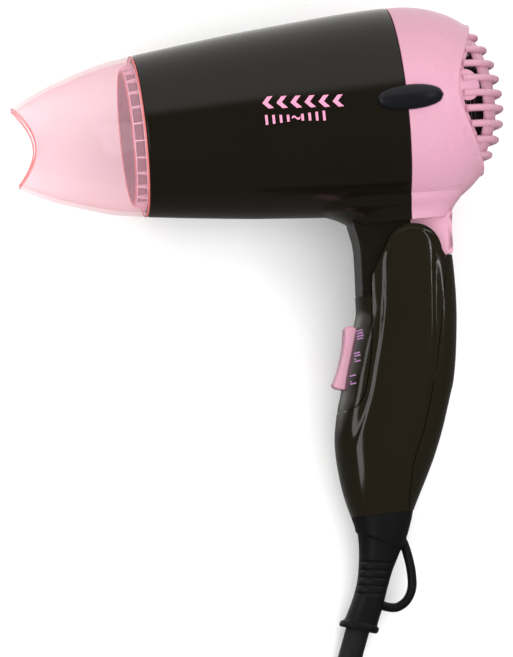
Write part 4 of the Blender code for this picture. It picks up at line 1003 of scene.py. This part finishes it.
# ---- strain relief
def boot_ring(z, centre, depth, half, tilt):
    level = superellipse(0.0, depth, half, 0.0, 2.3, 72)
    place = Matrix.Translation((centre, 0, z)) @ Matrix.Rotation(math.radians(tilt), 4, "Y")
    return [place @ p for p in level]


def make_boot(kinds):
    rows = spline(BOOT, 110) + spline(BOOT_LIP, 18)
    rings = []
    for z, centre, depth, half, tilt in rows:
        ring = boot_ring(z, centre, depth, half, tilt)
        middle = Vector((centre, 0, z))
        for p in ring:
            out = p - middle
            amount = 0.0
            wave = (p.z + 0.155 * (p.x + 25.6) + 109.6) / -GROOVE_PITCH
            if -0.5 < wave < GROOVES - 0.5:
                near = abs(wave - round(wave)) * GROOVE_PITCH
                amount += 0.5 * (1 - smoothstep(0.0, 0.75, near)) * smoothstep(0.25, 0.7, abs(out.y) / half)
            crease = p.z + 99.2 + 0.5 * (p.x + 29.2)
            fade = 1 - smoothstep(-129.0, -112.0, -p.z - 240)
            amount += 0.55 * (1 - smoothstep(-0.3, 0.3, crease)) * fade
            if z > -129.0:
                p -= out.normalized() * amount
        rings.append(ring)
    boot = lofted("boot_body", rings)
    spigot = [superellipse(-20.6, 8.0, 7.4, z, 2.3, 48) for z in (-94.5, -86.0)]
    combine(boot, lofted("spigot", spigot), "UNION")
    bm = bmesh.new()
    route = spline([(x, 0.0, z) for x, z in LOOP_ROUTE], 60)
    tube(bm, route, 1.65, 20, 1.35)
    combine(boot, rough("loop", bm), "UNION")
    done(boot, "handle", kinds["rubber"], "black_rubber", ["strain_relief"], 40)


# ---- carried-over nodes
NODE_LOOKS = {
    "dark": ["outlet_grille", "motor_housing", "motor_end_cap", "diode_1", "diode_2", "diode_3", "diode_4",
             "fan_impeller", "switch_block"],
    "mica": ["mica_sleeve", "mica_cross"],
    "wire": ["heating_coil_main", "heating_coil_low"],
    "steel": ["thermal_cutoff", "motor_can", "motor_shaft", "hinge_bush_left", "hinge_bush_right",
              "clamp_screw_front", "clamp_screw_back"],
    "nylon": ["thermal_fuse", "barrel_wire_neutral", "friction_washer_left", "friction_washer_right",
              "cord_clamp", "handle_wire_neutral"],
    "board": ["rectifier_board"],
    "red": ["barrel_wire_live", "switch_carriage", "handle_wire_live"],
}


def dress_nodes(kinds):
    """Materials for the CAD pieces that are shown as they are."""
    for kind, names in NODE_LOOKS.items():
        for name in names:
            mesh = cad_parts[name].data
            mesh.materials.clear()
            mesh.materials.append(kinds[kind])
            mesh.shade_smooth()
            mesh.set_sharp_from_angle(angle=math.radians(30))


# ---- stage
# Name, place, size, power and whether it shows in reflections.
LAMPS = [("top_box", (0.0, 0.1, 1.5), (3.0, 3.0), 29.0, False),
         ("low_box", (0.0, -1.2, 1.2), (2.4, 1.4), 14.0, False),
         ("left_strip", (-1.05, -0.15, 0.95), (0.9, 0.42), 3.6, True),
         ("right_strip", (0.85, 0.05, 1.25), (0.5, 0.05), 1.1, True),
         ("fill", (0.3, -0.9, 1.6), (2.0, 2.0), 15.0, False)]


def make_stage():
    """Pale floor, a world that is brighter behind the dryer, and soft lamps."""
    bm = bmesh.new()
    bmesh.ops.create_grid(bm, x_segments=8, y_segments=8, size=3.0)
    mesh = bpy.data.meshes.new("floor")
    bm.to_mesh(mesh)
    bm.free()
    floor = link("floor", mesh)
    floor.location.z = -0.0002
    floor.visible_glossy = False
    paper = paint("floor_paper", (0.93, 0.93, 0.93), (0.91, 0.91, 0.91), 0.9, 0.05, 300, 0.02, 4)
    mesh.materials.append(paper)
    world = bpy.data.worlds.new("studio")
    bpy.context.scene.world = world
    world.use_nodes = True
    tree = world.node_tree
    back = tree.nodes["Background"]
    where = tree.nodes.new("ShaderNodeTexCoord")
    parts = tree.nodes.new("ShaderNodeSeparateXYZ")
    tree.links.new(where.outputs["Generated"], parts.inputs["Vector"])
    edge = spread_out(tree, parts.outputs["Y"], 0.14, 0.95, 0.22, 0.42)
    edge.interpolation_type = "SMOOTHSTEP"
    tree.links.new(edge.outputs["Result"], back.inputs["Strength"])
    back.inputs["Color"].default_value = (1.0, 0.985, 0.96, 1.0)
    for name, place, size, power, seen in LAMPS:
        data = bpy.data.lights.new(name, "AREA")
        data.shape = "RECTANGLE"
        data.size, data.size_y = size
        data.energy = power
        data.use_shadow = name != "fill"
        lamp = bpy.data.objects.new(name, data)
        bpy.context.scene.collection.objects.link(lamp)
        lamp.location = place
        lamp.visible_glossy = seen
        aim = Vector((0.0, -0.05, 0.0)) - Vector(place)
        lamp.rotation_euler = aim.to_track_quat("-Z", "Y").to_euler()
    bpy.context.scene.view_settings.view_transform = "Standard"


def main():
    kinds = make_materials()
    make_camera()
    make_cord(kinds)
    make_stage()
    barrel = make_barrel(kinds)
    make_rear_cover(kinds)
    make_trim(kinds)
    make_screen(kinds)
    make_nozzle(kinds)
    plate = make_handle(kinds)
    make_slider(kinds)
    make_boot(kinds)
    make_prints(kinds, barrel, plate)
    dress_nodes(kinds)


main()
